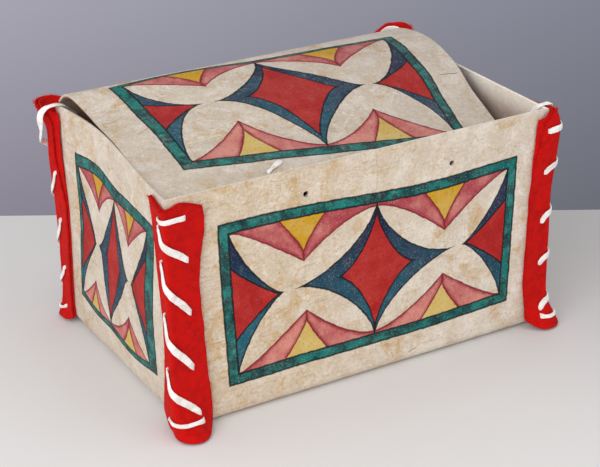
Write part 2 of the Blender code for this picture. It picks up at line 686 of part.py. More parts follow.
class Lacing(Band):
    """One corner's thong, with the holes that it goes through."""

    def __init__(self, corner):
        super().__init__()
        self.corner = corner
        self.holes = []
        self.lay()

    def outside(self, kind, reach, height):
        """How far off the wall the thong's middle lies on the cloth, more where the cloth leans."""
        slant = self.corner.slant(kind, reach, height)
        over = (LACE_OUT - CLOTH_INNER) * slant + CLOTH_FACET * (slant - 1)
        return CLOTH_INNER + self.corner.belly(kind, reach, height) + over

    def facing(self, kind, reach, height):
        lean = self.corner.lean(kind, reach, height)
        return (self.corner.normal(kind, reach) + UP * lean).normalized()

    def ring(self, leg, along, off, height, across=UP):
        self.add(self.corner.at(leg, along, off, height), across, THONG_NECK_WIDTH)

    def through(self, leg, height, outward, along=None, knot=None, inside_across=UP, outer=None):
        """Straight through the cloth and the wall at a hole, or from or into a knot on one face."""
        along = self.corner.holes[leg] if along is None else along
        margin = 0.0 if outer is not None else CUT_MARGIN
        outer = self.outside(leg, along, height) if outer is None else outer
        self.holes.append((leg, along, height, outer + margin))
        ends = (LACE_IN, outer) if outward else (outer, LACE_IN)
        way = self.corner.normal(leg)
        outside_across = UP - way * self.corner.lean(leg, along, height)
        across = (inside_across, outside_across) if outward else (outside_across, inside_across)
        if knot == "first":
            face = ends[0] + (THONG / 2 if outward else -THONG / 2)
            self.knot(self.corner.at(leg, along, face, height), -way if outward else way, UP, True)
        else:
            self.ring(leg, along, ends[0], height, across[0])
        self.ring(leg, along, (LACE_IN + outer) / 2, height, across[0] + across[1])
        if knot == "last":
            face = ends[1] + (-THONG / 2 if outward else THONG / 2)
            self.knot(self.corner.at(leg, along, face, height), way if outward else -way, UP, False)
        else:
            self.ring(leg, along, ends[1], height, across[1])

    def stitch(self, high, low, start=None, dip=0.0, backward=False, slack=0.0):
        """Outside, from the end wall around the corner to the long wall, or backward."""
        corner = self.corner
        start = corner.holes["end"] if start is None else start
        stop = corner.holes["long"]
        route = [(corner.at("end", start, self.outside("end", start, high) + slack, high), None)]
        for kind, position, share in STITCH_STEPS:
            height = mix(high, low, share) - dip * math.sin(math.pi * share)
            lift = slack * (1 - share)
            if kind == "turn":
                reach = position
                lift += CLOTH_BULGE * math.sin(math.radians(2 * position)) + THONG_TURN_GAP - THONG_GAP
            else:
                reach = start * (1 - position) if kind == "end" else stop * position
            place = corner.at(kind, reach, self.outside(kind, reach, height) + lift, height)
            route.append((place, self.facing(kind, reach, height)))
        route.append((corner.at("long", stop, self.outside("long", stop, low), low), None))
        if backward:
            route.reverse()
        for before, here, after in zip(route, route[1:], route[2:]):
            self.add(here[0], here[1].cross(after[0] - before[0]), THONG_WIDTH)

    def over_wall(self):
        """Up inside the end wall, over its top and a little way down outside."""
        corner = self.corner
        crown = WALL_HEIGHT + LACE_TURN
        inner = -HIDE - LACE_TURN
        low = WALL_HEIGHT - TURN_BACK - corner.slack / 2
        outer = self.outside("end", OVER_TOP_INSET, low) + corner.slack
        self.add(corner.at("end", OVER_TOP_INSET, inner, crown), ALONG_END, THONG_INSIDE_WIDTH)
        self.add(corner.at("end", OVER_TOP_INSET, outer, crown), ALONG_END, THONG_WIDTH)
        self.add(corner.at("end", OVER_TOP_INSET, outer, low), ALONG_END, THONG_WIDTH)
        return low

    def tuck(self, level):
        """A free end under the strip's top, from the long wall round the corner to the end's top hole."""
        corner = self.corner
        along = TAIL_REACH / 2
        self.add(corner.at("long", TAIL_REACH, TAIL_OFF, WALL_HEIGHT + TAIL_END_RISE), UP, THONG_WIDTH)
        self.add(corner.at("long", along, TAIL_OFF, WALL_HEIGHT + TAIL_RISE), UP, THONG_WIDTH)
        for turn, share in TAIL_TURNS:
            height = mix(WALL_HEIGHT + TAIL_RISE, level, share)
            self.add(corner.at("turn", turn, TAIL_OFF, height), UP, THONG_WIDTH)
        height = mix(WALL_HEIGHT + TAIL_RISE, level, TAIL_END_SHARE)
        self.add(corner.at("end", corner.holes["end"] / 2, TAIL_OFF, height), UP, THONG_NECK_WIDTH)
        self.through("end", level, False, inside_across=ALONG_END, outer=TAIL_OFF)

    def lay(self):
        levels = list(self.corner.levels)
        if self.corner.start == "behind":
            top = levels.pop(0)
            self.through("long", top, True, knot="first")
            self.stitch(top, top, backward=True)
            self.through("end", top, False, inside_across=ALONG_END)
        elif self.corner.start == "tucked":
            top = levels.pop(0)
            self.tuck(top)
        else:
            top = None
            leg, along, depth = self.corner.start
            self.through(leg, WALL_HEIGHT - depth, False, along, knot="first")
            self.stitch(self.over_wall(), levels[0], start=OVER_TOP_INSET, slack=self.corner.slack)
        if top is not None:
            self.through("end", top - TURN_BACK, True, inside_across=ALONG_END)
            self.stitch(top - TURN_BACK, levels[0])
        for level, below in zip(levels, levels[1:]):
            self.through("long", level, False)
            self.through("end", level, True)
            last = below == levels[-1]
            self.stitch(level, below + TURN_BACK if last else below)
        foot = levels[-1]
        self.through("long", foot + TURN_BACK, False)
        self.through("end", foot, True)
        self.stitch(foot, foot, dip=self.corner.foot_dip)
        self.through("long", foot, False, knot="last")

    def hole_rods(self, leg_wanted):
        rods = []
        for leg, along, height, outer in self.holes:
            if leg == leg_wanted:
                inner = self.corner.at(leg, along, -HIDE - CUT_MARGIN, height)
                rods.append((inner, self.corner.at(leg, along, outer, height), LACE_HOLE_RADIUS))
        return rods


# Tie thongs

def lid_place(x, y):
    """Across and forward shares of the lid under a point of its plan."""
    across = 0.5
    share = 0.5
    for _ in range(12):
        back = HINGE.y
        front = lid_middle(across, 1.0).y
        share = (back - y) / (back - front)
        left = lid_middle(0.0, share).x
        right = lid_middle(1.0, share).x
        across = (x - left) / (right - left)
    return across, share


def tie_spot(spec, reach):
    """Lid middle and normal at a distance along the tie's line."""
    front = lid_middle(lid_place(spec["x"], 0.0)[0], 1.0).y
    x = spec["x"] + reach * math.cos(spec["heading"])
    y = front + spec["inset"] + reach * math.sin(spec["heading"])
    here, normal, _ = lid_frame(*lid_place(x, y))
    return here, normal


def tie_band(spec):
    """A thong knotted under the lid, up through its slit and flat along the lid."""
    band = Band()
    here, normal = tie_spot(spec, 0.0)
    ahead, _ = tie_spot(spec, spec["length"])
    across = normal.cross(ahead - here)
    band.knot(here - normal * (HIDE / 2 + THONG_GAP), -normal, across, True)
    band.add(here, across, THONG_NECK_WIDTH)
    lift = HIDE / 2 + THONG_GAP + THONG / 2
    band.add(here + normal * lift, across, THONG_NECK_WIDTH)
    for share in TIE_SHARES:
        place, up = tie_spot(spec, spec["length"] * share)
        band.add(place + up * lift, across, TIE_WIDTH)
    return band


def tie_rod(spec):
    here, normal = tie_spot(spec, 0.0)
    reach = HIDE / 2 + CUT_MARGIN
    return here - normal * reach, here + normal * reach, TIE_SLIT_RADIUS


# Assembly

def build_walls():
    flat = [0.0, 1.0]
    inner_shares = [step / WARP_COLUMNS for step in range(1, WARP_COLUMNS)]
    warped = [0.0, WARP_EDGE] + inner_shares + [1 - WARP_EDGE, 1.0]
    solids = {
        "bottom_panel": bottom_solid(),
        "front_wall": wall_solid(long_wall_point, -1, flat),
        "back_wall": wall_solid(long_wall_point, 1, flat),
        "left_end": wall_solid(end_wall_point, -1, warped),
        "right_end": wall_solid(end_wall_point, 1, flat),
    }
    walls = {}
    for name, solid in solids.items():
        walls[name] = add_object(name, solid, material(name + "_hide", HIDE_COLOUR, HIDE_ROUGHNESS))
    round_shading(walls["left_end"])
    rods = []
    for x, depth in TIE_HOLES.values():
        height = WALL_HEIGHT - depth
        inner = Vector((x, -HALF_DEPTH + HIDE + CUT_MARGIN, height))
        outer = Vector((x, -HALF_DEPTH - CUT_MARGIN, height))
        rods.append((inner, outer, TIE_HOLE_RADIUS))
    cut(walls["front_wall"], cutter_object("tie_hole_cutters", rods))
    return walls


def build_corner(name, spec, walls):
    corner = Corner(name, spec)
    red = material("cloth_" + name, CLOTH_COLOUR, CLOTH_ROUGHNESS)
    cloth = add_object("corner_cloth_" + name, cloth_solid(corner), red)
    round_shading(cloth)
    lacing = Lacing(corner)
    white = material("thong_" + name, THONG_COLOUR, THONG_ROUGHNESS)
    lace = add_object("corner_lacing_" + name, lacing.solid(), white)
    round_shading(lace)
    long_wall = walls["front_wall"] if corner.sy < 0 else walls["back_wall"]
    end_wall = walls["left_end"] if corner.sx < 0 else walls["right_end"]
    for leg, wall in (("long", long_wall), ("end", end_wall)):
        cutter = cutter_object("lace_holes_" + name + "_" + leg, lacing.hole_rods(leg))
        cut(wall, cutter)
        cut(cloth, cutter)
    print(lace.name, "thong length", round(lacing.length(), 3), "least gap", round(lacing.least_gap(), 5))


def build_lid():
    fold = bpy.data.objects.new("lid_fold_axis", None)
    fold.location = HINGE
    bpy.context.scene.collection.objects.link(fold)
    look = material("lid_hide", HIDE_COLOUR, HIDE_ROUGHNESS)
    lid = add_object("lid", lid_solid(), look, origin=HINGE, parent=fold)
    round_shading(lid)
    cut(lid, cutter_object("tie_slit_cutters", [tie_rod(spec) for spec in TIES.values()]))
    for name, spec in TIES.items():
        band = tie_band(spec)
        look = material("tie_" + name, THONG_COLOUR, THONG_ROUGHNESS)
        tie = add_object("lid_tie_" + name, band.solid(), look, origin=HINGE, parent=fold)
        round_shading(tie)


def main():
    clear_scene()
    walls = build_walls()
    for name, spec in CORNERS.items():
        build_corner(name, spec, walls)
    build_lid()


main()
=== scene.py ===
"""Painted rawhide case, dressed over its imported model, on a pale table."""
import json
import math
import random

import bmesh
import bpy
import numpy as np
from bpy.props import FloatProperty, FloatVectorProperty, IntProperty, PointerProperty
from mathutils import Matrix, Vector, noise
from mathutils.kdtree import KDTree


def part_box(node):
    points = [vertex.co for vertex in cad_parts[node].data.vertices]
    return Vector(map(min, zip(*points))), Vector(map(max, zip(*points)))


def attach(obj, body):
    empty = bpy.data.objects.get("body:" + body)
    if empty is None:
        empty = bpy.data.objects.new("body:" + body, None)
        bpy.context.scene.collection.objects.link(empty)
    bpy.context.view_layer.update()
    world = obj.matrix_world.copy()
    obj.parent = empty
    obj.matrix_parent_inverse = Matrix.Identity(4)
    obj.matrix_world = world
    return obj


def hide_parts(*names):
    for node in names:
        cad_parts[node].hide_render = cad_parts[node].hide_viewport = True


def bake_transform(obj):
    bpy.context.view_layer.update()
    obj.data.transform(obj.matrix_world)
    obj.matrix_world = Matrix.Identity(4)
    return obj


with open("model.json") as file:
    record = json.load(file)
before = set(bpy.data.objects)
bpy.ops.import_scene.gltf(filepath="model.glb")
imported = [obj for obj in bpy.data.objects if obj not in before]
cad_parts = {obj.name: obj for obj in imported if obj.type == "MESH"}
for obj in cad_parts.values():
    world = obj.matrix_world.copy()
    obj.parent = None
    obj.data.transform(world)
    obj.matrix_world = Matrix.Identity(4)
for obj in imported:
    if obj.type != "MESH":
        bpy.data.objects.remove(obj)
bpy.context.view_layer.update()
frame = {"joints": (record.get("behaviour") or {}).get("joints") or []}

bl_info = {
    "name": "Painted rawhide case",
    "version": (1, 0, 0),
    "blender": (4, 5, 0),
    "location": "View3D > Sidebar > Rawhide case",
    "description": "Dresses a folded rawhide case with its painting, wool corner strips and laced thongs",
    "category": "Object",
}

# Box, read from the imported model
HALF_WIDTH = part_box("right_end")[1].x
HALF_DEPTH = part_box("back_wall")[1].y
WALL_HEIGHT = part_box("back_wall")[1].z
FOLD_AXIS = Vector(frame["joints"][0]["pos_m"])
UP = Vector((0, 0, 1))
ALONG_END = Vector((0, 1, 0))

# Sheet, its bottom folds, how far the bottom runs into them, and the shares of a panel's width and height
# over which its slow waves die away at its edges
HIDE = 0.0024
FOLD_RADIUS = 0.01
FOLD_STEPS = 8
WALL_ROWS = 38
BOTTOM_LAP = 0.0004
BOTTOM_CELLS = (24, 16)
WAVE_FINENESS = 14.0
RIM_WEAR = 0.0007
CALM_ACROSS = 0.12
CALM_UP = 0.18
CALM_LID = 0.14

# Warp of the left end: its front corner stands out, and its top edge bows inward
FLARE = 0.0115
FLARE_RISE = 0.014
FLARE_TOP = 0.003
END_BOW = 0.009
BOW_POWER = 4
BOW_SKEW = 0.65

# Lid: share of the way from the fold to the front edge, and rise above the fold
LID_BACK_RIGHT = 0.001
LID_FRONT_RIGHT = 0.0216
LID_SIDE_GAP = 0.001
LID_FRONT_GAP_LEFT = 0.0026
LID_FRONT_GAP_RIGHT = 0.005
LID_LEFT_PROFILE = [(0.0, 0.0), (0.04, 0.0081), (0.09, 0.0103), (0.2, 0.005), (0.31, 0.0001),
                    (0.45, -0.0022), (0.62, -0.0047), (0.8, -0.0072), (1.0, -0.0117)]
LID_RIGHT_PROFILE = [(0.0, 0.0), (0.04, 0.0061), (0.15, 0.012), (0.3, 0.0145), (0.43, 0.0101),
                     (0.53, 0.0026), (0.63, -0.01), (0.74, -0.0198), (0.84, -0.0283), (1.0, -0.0387)]
LID_START = 0.006
LID_ROWS = 84
LID_COLUMNS = 72
# The bent strip at the fold: from below the wall's top to a share of the way along the lid
BEND_COLUMNS = 60
BEND_ROWS = 10
BEND_DOWN = 0.004
BEND_SHARE = 0.012
BEND_COVER = 0.00004

# Tie holes in the front wall, the reach of the rods that cut them, and the tie thongs on the lid, with
# their slits. Their steps are shares of their length and of their width
TIE_HOLES = [(-0.0663, 0.0237), (0.0782, 0.0288)]
TIE_HOLE_RADIUS = 0.0025
TIE_SLIT_RADIUS = 0.0023
ROD_INWARD = 0.006
ROD_OUTWARD = 0.004
TIE_WIDTH = 0.0052
TIE_STEPS = [(0.25, 0.6), (0.5, 0.9), (0.85, 1.12), (1.0, 0.95)]
TIES = {
    "left": dict(x=-0.0822, inset=0.0278, length=0.0225, heading=math.radians(34)),
    "right": dict(x=0.059, inset=0.03, length=0.02, heading=math.radians(-15)),
}

# Painted design, as shares of a panel's half width and half height from its centre. A star is its reach,
# its rise and the power that hollows its sides. Bare faces lie far outside the design
BARE = 9.0
DIAMOND = (0.555, 1.0, 0.69)
END_TIP = 0.665
WING_POINT = (0.51, 0.36)
WING_TOP_IN = 0.96
WING_TOP_OUT = 0.99
WING_OUTER = 0.975
SUN_FOOT = 0.155
SUN_POINT = 0.48
MARKS = [(-1, 1), (1, 1), (1, -1), (-1, -1), (0, 1), (0, -1)]
MARKS += [(side * x, y) for x, y in ((DIAMOND[0], 0), (END_TIP, 0), WING_POINT,
                                     (WING_POINT[0], -WING_POINT[1]), (1, 0)) for side in (-1, 1)]
# Where those marks lie on each panel, in metres along the panel and up it
FRONT_MARKS = [(-0.1388, 0.1687), (0.1378, 0.1632), (0.134, 0.0418), (-0.1327, 0.0393), (0.0024, 0.1624),
               (0.001, 0.039), (-0.0736, 0.1039), (0.0791, 0.1019), (-0.0898, 0.1031), (0.092, 0.1019),
               (-0.0691, 0.1274), (0.0719, 0.1206), (-0.0669, 0.0806), (0.071, 0.0786)]
LEFT_MARKS = [(-0.0775, 0.1654), (0.0772, 0.1662), (0.0664, 0.0398), (-0.079, 0.0432), (0.0031, 0.1654),
              (-0.0166, 0.0388), (-0.0324, 0.1074), (0.0282, 0.1011), (-0.0404, 0.1069), (0.0367, 0.1006),
              (-0.0317, 0.1407), (0.0327, 0.1344), (-0.0462, 0.0678), (0.0264, 0.0648)]
LID_MARKS = [(0.1388, 0.1031), (0.8907, 0.1934), (0.8663, 0.8447), (0.1455, 0.724), (0.5091, 0.1274),
             (0.5046, 0.7874), (0.3208, 0.3574), (0.7111, 0.5015), (0.2734, 0.3486), (0.7387, 0.5051),
             (0.3282, 0.2286), (0.6967, 0.3384), (0.3278, 0.5311), (0.6932, 0.6293), (0.1384, 0.3484),
             (0.8795, 0.55)]
# The inner face's brown, as an sRGB colour: partly the hide's own brown flesh side, partly painted shade
# deep inside the box
INNER_TAN_AND_SHADE = (124, 74, 46)
# Each painted panel: half size, and border at its left, right, bottom and top, in millimetres; its middle
# star's heart, its end stars and their hearts; how worn its paint is, how much painted shade darkens its
# hide at the left and at the right, as light falls off across it; how ochre it is at the left, how brown its
# inner face is at the rim and lower down (partly its own colour, partly painted shade deeper in the box),
# the ends of its small cracks, and whether a crease runs up from its middle
PANELS = {
    "front": dict(half=(137.0, 62.5), border=(9.0, 9.0, 9.0, 9.0), heart=(0.278, 0.93, 0.7),
                  end=(0.335, 1.0, 0.78), end_heart=(0.315, 0.52, 0.9), wear=0.3, painted_shade=(0.0, 0.0),
                  ochre=0.75, inner_tan_and_shade=(0.0, 0.55), cracks=[(0.27, -1.462, 0.335, -1.43)], crease=True),
    "end": dict(half=(76.0, 62.5), border=(5.5, 13.5, 7.5, 12.5), heart=(0.278, 0.93, 0.7),
                end=(0.335, 1.0, 0.78), end_heart=(0.315, 0.52, 0.9), wear=0.4, painted_shade=(0.25, 0.0),
                ochre=0.2, inner_tan_and_shade=(0.0, 0.55), cracks=[], crease=False),
    "lid": dict(half=(128.0, 81.0), border=(10.8, 8.6, 11.6, 5.8), heart=(0.345, 0.81, 0.7),
                end=(0.335, 1.0, 0.62), end_heart=(0.33, 0.34, 0.82), wear=0.6, painted_shade=(0.38, 0.8),
                ochre=0.2, inner_tan_and_shade=(0.6, 0.6), crease=False,
                cracks=[(-1.357, 0.17, -1.245, 0.149), (1.139, 0.048, 1.277, 0.042),
                        (-1.038, 0.945, -1.017, 0.801), (-0.962, 0.459, -0.943, 0.341),
                        (-1.196, -0.297, -1.076, -0.202)]),
}

# Each corner: sides of the box it lies on, and which of its two legs holds the strip's fold. Its edges are
# their distances from the corner up the wall, its stands how far it bellies off the wall, its laps how far
# its inner layer shows beyond its outer one, all at shares of the wall's height. Its lobes are the share of
# the belly at the corner and at the edge, and its tops how far it ends over the wall's top, from the long
# wall's edge to the end wall's edge. Its holes are the lace holes' distances from the corner on the long
# wall and on the end wall, its levels their depths as shares of the wall's height. The thong starts at a
# knot behind the top hole, at a knot of its own (distance and depth on the long or end wall) and over the
# end wall's top, or as a tail tucked under the strip's top. Its foot dip is how far its lowest stitch sags,
# its haste how much sooner its stitches drop, and its slack how far it bows out over the wall's top
LEGS = ("long", "end")
CORNERS = {
    "front_left": dict(
        side=(-1, -1), fold="end", lobes=((1.0, 0.05), (0.42, 0.15)),
        long_edge=[(0.0, 0.02), (0.1, 0.0285), (0.3, 0.028), (0.68, 0.025), (0.89, 0.0325),
                   (1.0, 0.0305)],
        end_edge=[(0.0, 0.022), (0.07, 0.02), (0.2, 0.013), (0.43, 0.009), (0.65, 0.014),
                  (1.0, 0.0205)],
        stands=[(0.0, 0.0225), (0.065, 0.011), (0.13, 0.004), (0.22, 0.0008), (0.5, 0.0), (1.0, 0.001)],
        laps=[(0.0, 0.0), (0.9, 0.0), (1.0, 0.006)], tops=(-0.0095, -0.003, -0.006, -0.002),
        holes=(0.015, 0.0046), levels=(0.074, 0.252, 0.475, 0.713, 0.935), start="behind",
        foot_dip=-0.0015),
    "front_right": dict(
        side=(1, -1), fold="end", lobes=((1.0, 0.05), (0.9, 0.1)),
        long_edge=[(0.0, 0.015), (0.08, 0.018), (0.25, 0.0208), (0.55, 0.0185), (0.8, 0.0155),
                   (1.0, 0.0125)],
        end_edge=[(0.0, 0.029), (0.5, 0.031), (1.0, 0.031)],
        stands=[(0.0, 0.015), (0.05, 0.0095), (0.11, 0.003), (0.2, 0.0), (0.62, 0.0), (0.8, 0.0038),
                (0.94, 0.0055), (1.0, 0.001)],
        laps=[(0.0, 0.0), (0.7, 0.0), (0.9, 0.004), (1.0, 0.0045)], tops=(-0.008, -0.005, 0.0, -0.004),
        holes=(0.0058, 0.016), levels=(0.082, 0.272, 0.5, 0.697, 0.936), start=("end", 0.0245, 0.0145),
        foot_dip=0.001, haste=0.62),
    "back_left": dict(
        side=(-1, 1), fold="long", lobes=((1.0, 0.05), (1.0, 0.05)),
        long_edge=[(0.0, 0.029), (0.5, 0.028), (1.0, 0.029)],
        end_edge=[(0.0, 0.019), (0.12, 0.0165), (0.55, 0.0195), (0.75, 0.0125), (1.0, 0.009)],
        stands=[(0.0, 0.006), (0.06, 0.002), (0.14, 0.0), (0.45, 0.0005), (0.75, 0.0038), (0.9, 0.0045),
                (1.0, 0.013)],
        laps=[(0.0, 0.0), (0.55, 0.0), (0.75, 0.0045), (1.0, 0.003)], tops=(-0.0015, 0.0, 0.003, -0.006),
        holes=(0.015, 0.007), levels=(0.293, 0.514, 0.743, 0.931), start=("long", 0.02, 0.014),
        slack=0.01, foot_dip=0.004),
    "back_right": dict(
        side=(1, 1), fold="long", lobes=((1.0, 0.05), (1.0, 0.05)),
        long_edge=[(0.0, 0.029), (0.5, 0.028), (1.0, 0.029)],
        end_edge=[(0.0, 0.02), (0.12, 0.018), (0.55, 0.0195), (1.0, 0.018)],
        stands=[(0.0, 0.006), (0.06, 0.002), (0.14, 0.0), (0.6, 0.0), (0.78, 0.002), (0.9, 0.0075),
                (1.0, 0.012)],
        laps=[(0.0, 0.0), (0.55, 0.0), (1.0, 0.004)], tops=(-0.0015, 0.002, 0.006, -0.002),
        holes=(0.015, 0.007), levels=(0.033, 0.293, 0.514, 0.743, 0.931), start="tucked",
        foot_dip=0.004),
}
# Corner strips: two layers of one folded strip
CLOTH = 0.0017
CLOTH_LAYER_GAP = 0.0004
CLOTH_GAP = 0.0004
CLOTH_BULGE = 0.0014
CLOTH_FOOT = 0.0014
CLOTH_FOOT_ROUND = 0.006
CLOTH_ROWS = 60
CLOTH_LEG_SHARES = [1.0, 0.94, 0.82, 0.66, 0.5, 0.34, 0.2, 0.08]
CLOTH_TURNS = [4, 20, 36, 54, 70, 86]
CLOTH_INNER = CLOTH_GAP + CLOTH / 2
CLOTH_OUTER = CLOTH_INNER + CLOTH + CLOTH_LAYER_GAP
CLOTH_FACE = CLOTH_OUTER + CLOTH / 2
CLOTH_OUTER_COLUMNS = 2 * len(CLOTH_LEG_SHARES) + len(CLOTH_TURNS)
CLOTH_FRAY = 0.0012
CLOTH_RAGGED = 0.001
CLOTH_LUMP = 0.0003
DENT_DEPTH = 0.0007
DENT_REACH = 0.004
# Shares of the loose fibres that stand on the strip's edges, and on its edges or its top
NAP_EDGES = 0.34
NAP_RIMS = 0.5
TOP_PLACES = [0.0, 0.3, 0.55, 1.0]
LEAN_STEP = 0.002
TURN_STEP = 8
MOST_SLANT = 3.0

# Lacing: one flat thong for each corner
THONG_NECK = 0.0036
THONG_WIDE_NECK = 0.0048
THONG_INSIDE = 0.0046
THONG_GAP = 0.00005
THONG_TURN_GAP = 0.0004
THONG_BEND = 0.0022
THONG_SIDES = 14
THONG_STEP = 0.0016
THONG_STRAIGHT = math.radians(155)
HASTE_SHARE = 0.38
TOP_STITCH_WIDTH = 0.75
FOOT_STITCH_WIDTH = 0.58
# Stations of a stitch: leg or turn in degrees, place on it, share of the stitch's drop and of the width
STITCH_STEPS = [("end", 0.5, 0.2, 0.7), ("turn", 8, 0.38, 0.86), ("turn", 34, 0.46, 0.97),
                ("turn", 60, 0.54, 1.04), ("turn", 84, 0.62, 1.08), ("long", 0.5, 0.8, 1.08)]
KNOT = 0.0048
KNOT_RINGS = [(1.0, 0.35), (0.85, 0.8), (0.5, 1.0), (0.15, 0.8), (0.0, 0.6)]
OVER_TOP_INSET = 0.0085
TURN_BACK = 0.0062
TAIL_OFF = 0.0074
TAIL_REACH = 0.0125
TAIL_END_RISE = 0.0004
TAIL_RISE = 0.0026
TAIL_TURNS = [(80, 0.02), (50, 0.12), (20, 0.32)]
TAIL_END_SHARE = 0.7
# The slack bow over a wall's top: the way it faces, then share of the way across, rise and share of its turn
BOW_FACING = Vector((0.75, -0.66, 0))
BOW_STEPS = [(0.3, 0.0014, 0.25), (0.72, 0.0006, 0.6), (0.95, -0.0034, 1.0), (1.0, -0.0082, 1.0)]

# Camera, with the photograph's focal length and width in pixels, the table's edges, and where lamps point
CAMERA_PLACE = Vector((-0.7393, -1.2514, 0.7683))
CAMERA_HEADING = math.radians(-30.5157)
CAMERA_PITCH = math.radians(25.1184)
CAMERA_ROLL = math.radians(-0.5904)
FOCAL_PIXELS = 1776.54
PICTURE_PIXELS = 600
SENSOR = 36.0
TABLE_BACK = 0.237
TABLE_REACH = 4
TABLE_TOP = -0.0003
TABLE_UNDERSIDE = -0.03
LAMP_AIM = Vector((0, 0, 0.08))


def srgb(red, green, blue):
    """Linear colour of a written colour."""
    return tuple((c / 255 / 12.92) if c <= 10 else ((c / 255 + 0.055) / 1.055) ** 2.4
                 for c in (red, green, blue))


# Settings

def shade(name, description, *written):
    """A colour that a user can change."""
    return FloatVectorProperty(name=name, description=description, size=3, subtype="COLOR",
                               default=srgb(*written))


def measure(name, description, default):
    """A length that a user can change."""
    return FloatProperty(name=name, description=description, default=default, unit="LENGTH",
                         subtype="DISTANCE", precision=5)


class HideSettings(bpy.types.PropertyGroup):
    wave: measure("Wave", "Height of the hide's slow waves", 0.0007)
    bone: shade("Bone", "Colour of the clean hide", 208, 193, 174)
    pale: shade("Pale", "Colour of the hide's light areas", 232, 224, 214)
    stain: shade("Stain", "Colour of the hide's ochre patches", 198, 162, 108)
    roughness: FloatProperty(name="Roughness", description="Roughness of the dry hide", default=0.6,
                             subtype="FACTOR", min=0, max=1)


class PaintSettings(bpy.types.PropertyGroup):
    line: FloatProperty(name="Line", description="Half width of a drawn outline in millimetres",
                        default=0.74)
    teal: shade("Teal", "Border, dark", 0, 52, 54)
    sea: shade("Sea", "Border, light", 0, 128, 120)
    blue: shade("Blue", "Diamonds' outer part, dark", 8, 34, 68)
    slate: shade("Slate", "Diamonds' outer part, light", 16, 96, 112)
    red: shade("Red", "Diamonds' hearts", 168, 22, 20)
    coral: shade("Coral", "Diamonds' hearts, thin", 194, 56, 46)
    pink: shade("Pink", "Wings, dark", 164, 34, 58)
    blush: shade("Blush", "Wings, light", 212, 130, 118)
    yellow: shade("Yellow", "Wings' points, strong", 200, 156, 24)
    straw: shade("Straw", "Wings' points, thin", 212, 188, 114)
    ink: shade("Ink", "Outline of blue and teal", 10, 17, 26)
    wine: shade("Wine", "Outline of the wings", 124, 10, 34)


class ClothSettings(bpy.types.PropertyGroup):
    # Two tones of the wool: its lit side, and painted shade deep in its nap
    scarlet: shade("Scarlet", "Wool, lit side", 200, 12, 8)
    crimson: shade("Crimson", "Wool, deep in its nap", 158, 8, 8)
    nap_count: IntProperty(name="Nap", description="Loose fibres on each strip", default=2200)
    nap_length: measure("Nap length", "Length of a loose fibre", 0.0028)


class ThongSettings(bpy.types.PropertyGroup):
    width: measure("Width", "Width of the flat thong", 0.0056)
    thickness: measure("Thickness", "Thickness of the flat thong", 0.0014)
    white: shade("White", "Colour of the soft hide thong", 240, 236, 233)


class StageSettings(bpy.types.PropertyGroup):
    table: shade("Table", "Colour of the table", 227, 225, 224)
    key: FloatProperty(name="Key light", description="Power of the large lamp in watts", default=27.0)
    fill: FloatProperty(name="Fill", description="Strength of the light from all round", default=0.98)


SETTINGS = {"case_hide": HideSettings, "case_paint": PaintSettings, "case_cloth": ClothSettings,
            "case_thong": ThongSettings, "case_stage": StageSettings}


# Nodes

def maths(operation, *fixed, clamp=False, flip=False):
    """A method that joins a number and what it meets in a Math node."""

    def apply(self, *others):
        node = self.tree.nodes.new("ShaderNodeMath")
        node.operation = operation
        node.use_clamp = clamp
        values = (*others, self) if flip else (self, *others, *fixed)
        for socket, value in zip(node.inputs, values):
            if isinstance(value, Signal):
                self.tree.links.new(value.socket, socket)
            else:
                socket.default_value = value
        return Signal(self.tree, node.outputs[0])

    return apply


class Signal:
    """A number in a tree of nodes; arithmetic on it adds Math nodes."""

    def __init__(self, tree, socket):
        self.tree = tree
        self.socket = socket

    __add__ = __radd__ = maths("ADD")
    __sub__ = maths("SUBTRACT")
    __rsub__ = maths("SUBTRACT", flip=True)
    __mul__ = __rmul__ = maths("MULTIPLY")
    __truediv__ = maths("DIVIDE")
    __pow__ = maths("POWER")
    size = maths("ABSOLUTE")
    least = maths("MINIMUM")
    most = maths("MAXIMUM")
    root = maths("SQRT")
    clipped = maths("ADD", 0.0, clamp=True)

    def inside(self, soft=0.2):
        """1 where the number is below zero and 0 above, over a soft edge."""
        return (0.5 - self / (2 * soft)).clipped()


class Nodes:
    """A tree of nodes that works out numbers and colours."""

    def __init__(self, tree):
        self.tree = tree

    def link(self, source, socket):
        """Joins an output to a socket, or sets the socket to a number or a colour."""
        source = getattr(source, "socket", source)
        if isinstance(source, bpy.types.NodeSocket):
            self.tree.links.new(source, socket)
        elif socket.type == "RGBA":
            socket.default_value = (*source[:3], 1.0)
        else:
            socket.default_value = source

    def node(self, kind, inputs=None, **values):
        made = self.tree.nodes.new(kind)
        for key, value in values.items():
            setattr(made, key, value)
        for key, value in (inputs or {}).items():
            self.link(value, made.inputs[key])
        return made

    def split(self, vector):
        """The three numbers of a vector."""
        made = self.node("ShaderNodeSeparateXYZ", {0: vector})
        return [Signal(self.tree, output) for output in made.outputs]

    def mix(self, a, b, share):
        return self.node("ShaderNodeMix", {0: share, 6: a, 7: b}, data_type="RGBA").outputs[2]

    def lay(self, colour, *tints):
        """A colour with tints laid over it in turn, each by its share."""
        for tint, share in tints:
            colour = self.mix(colour, tint, share)
        return colour


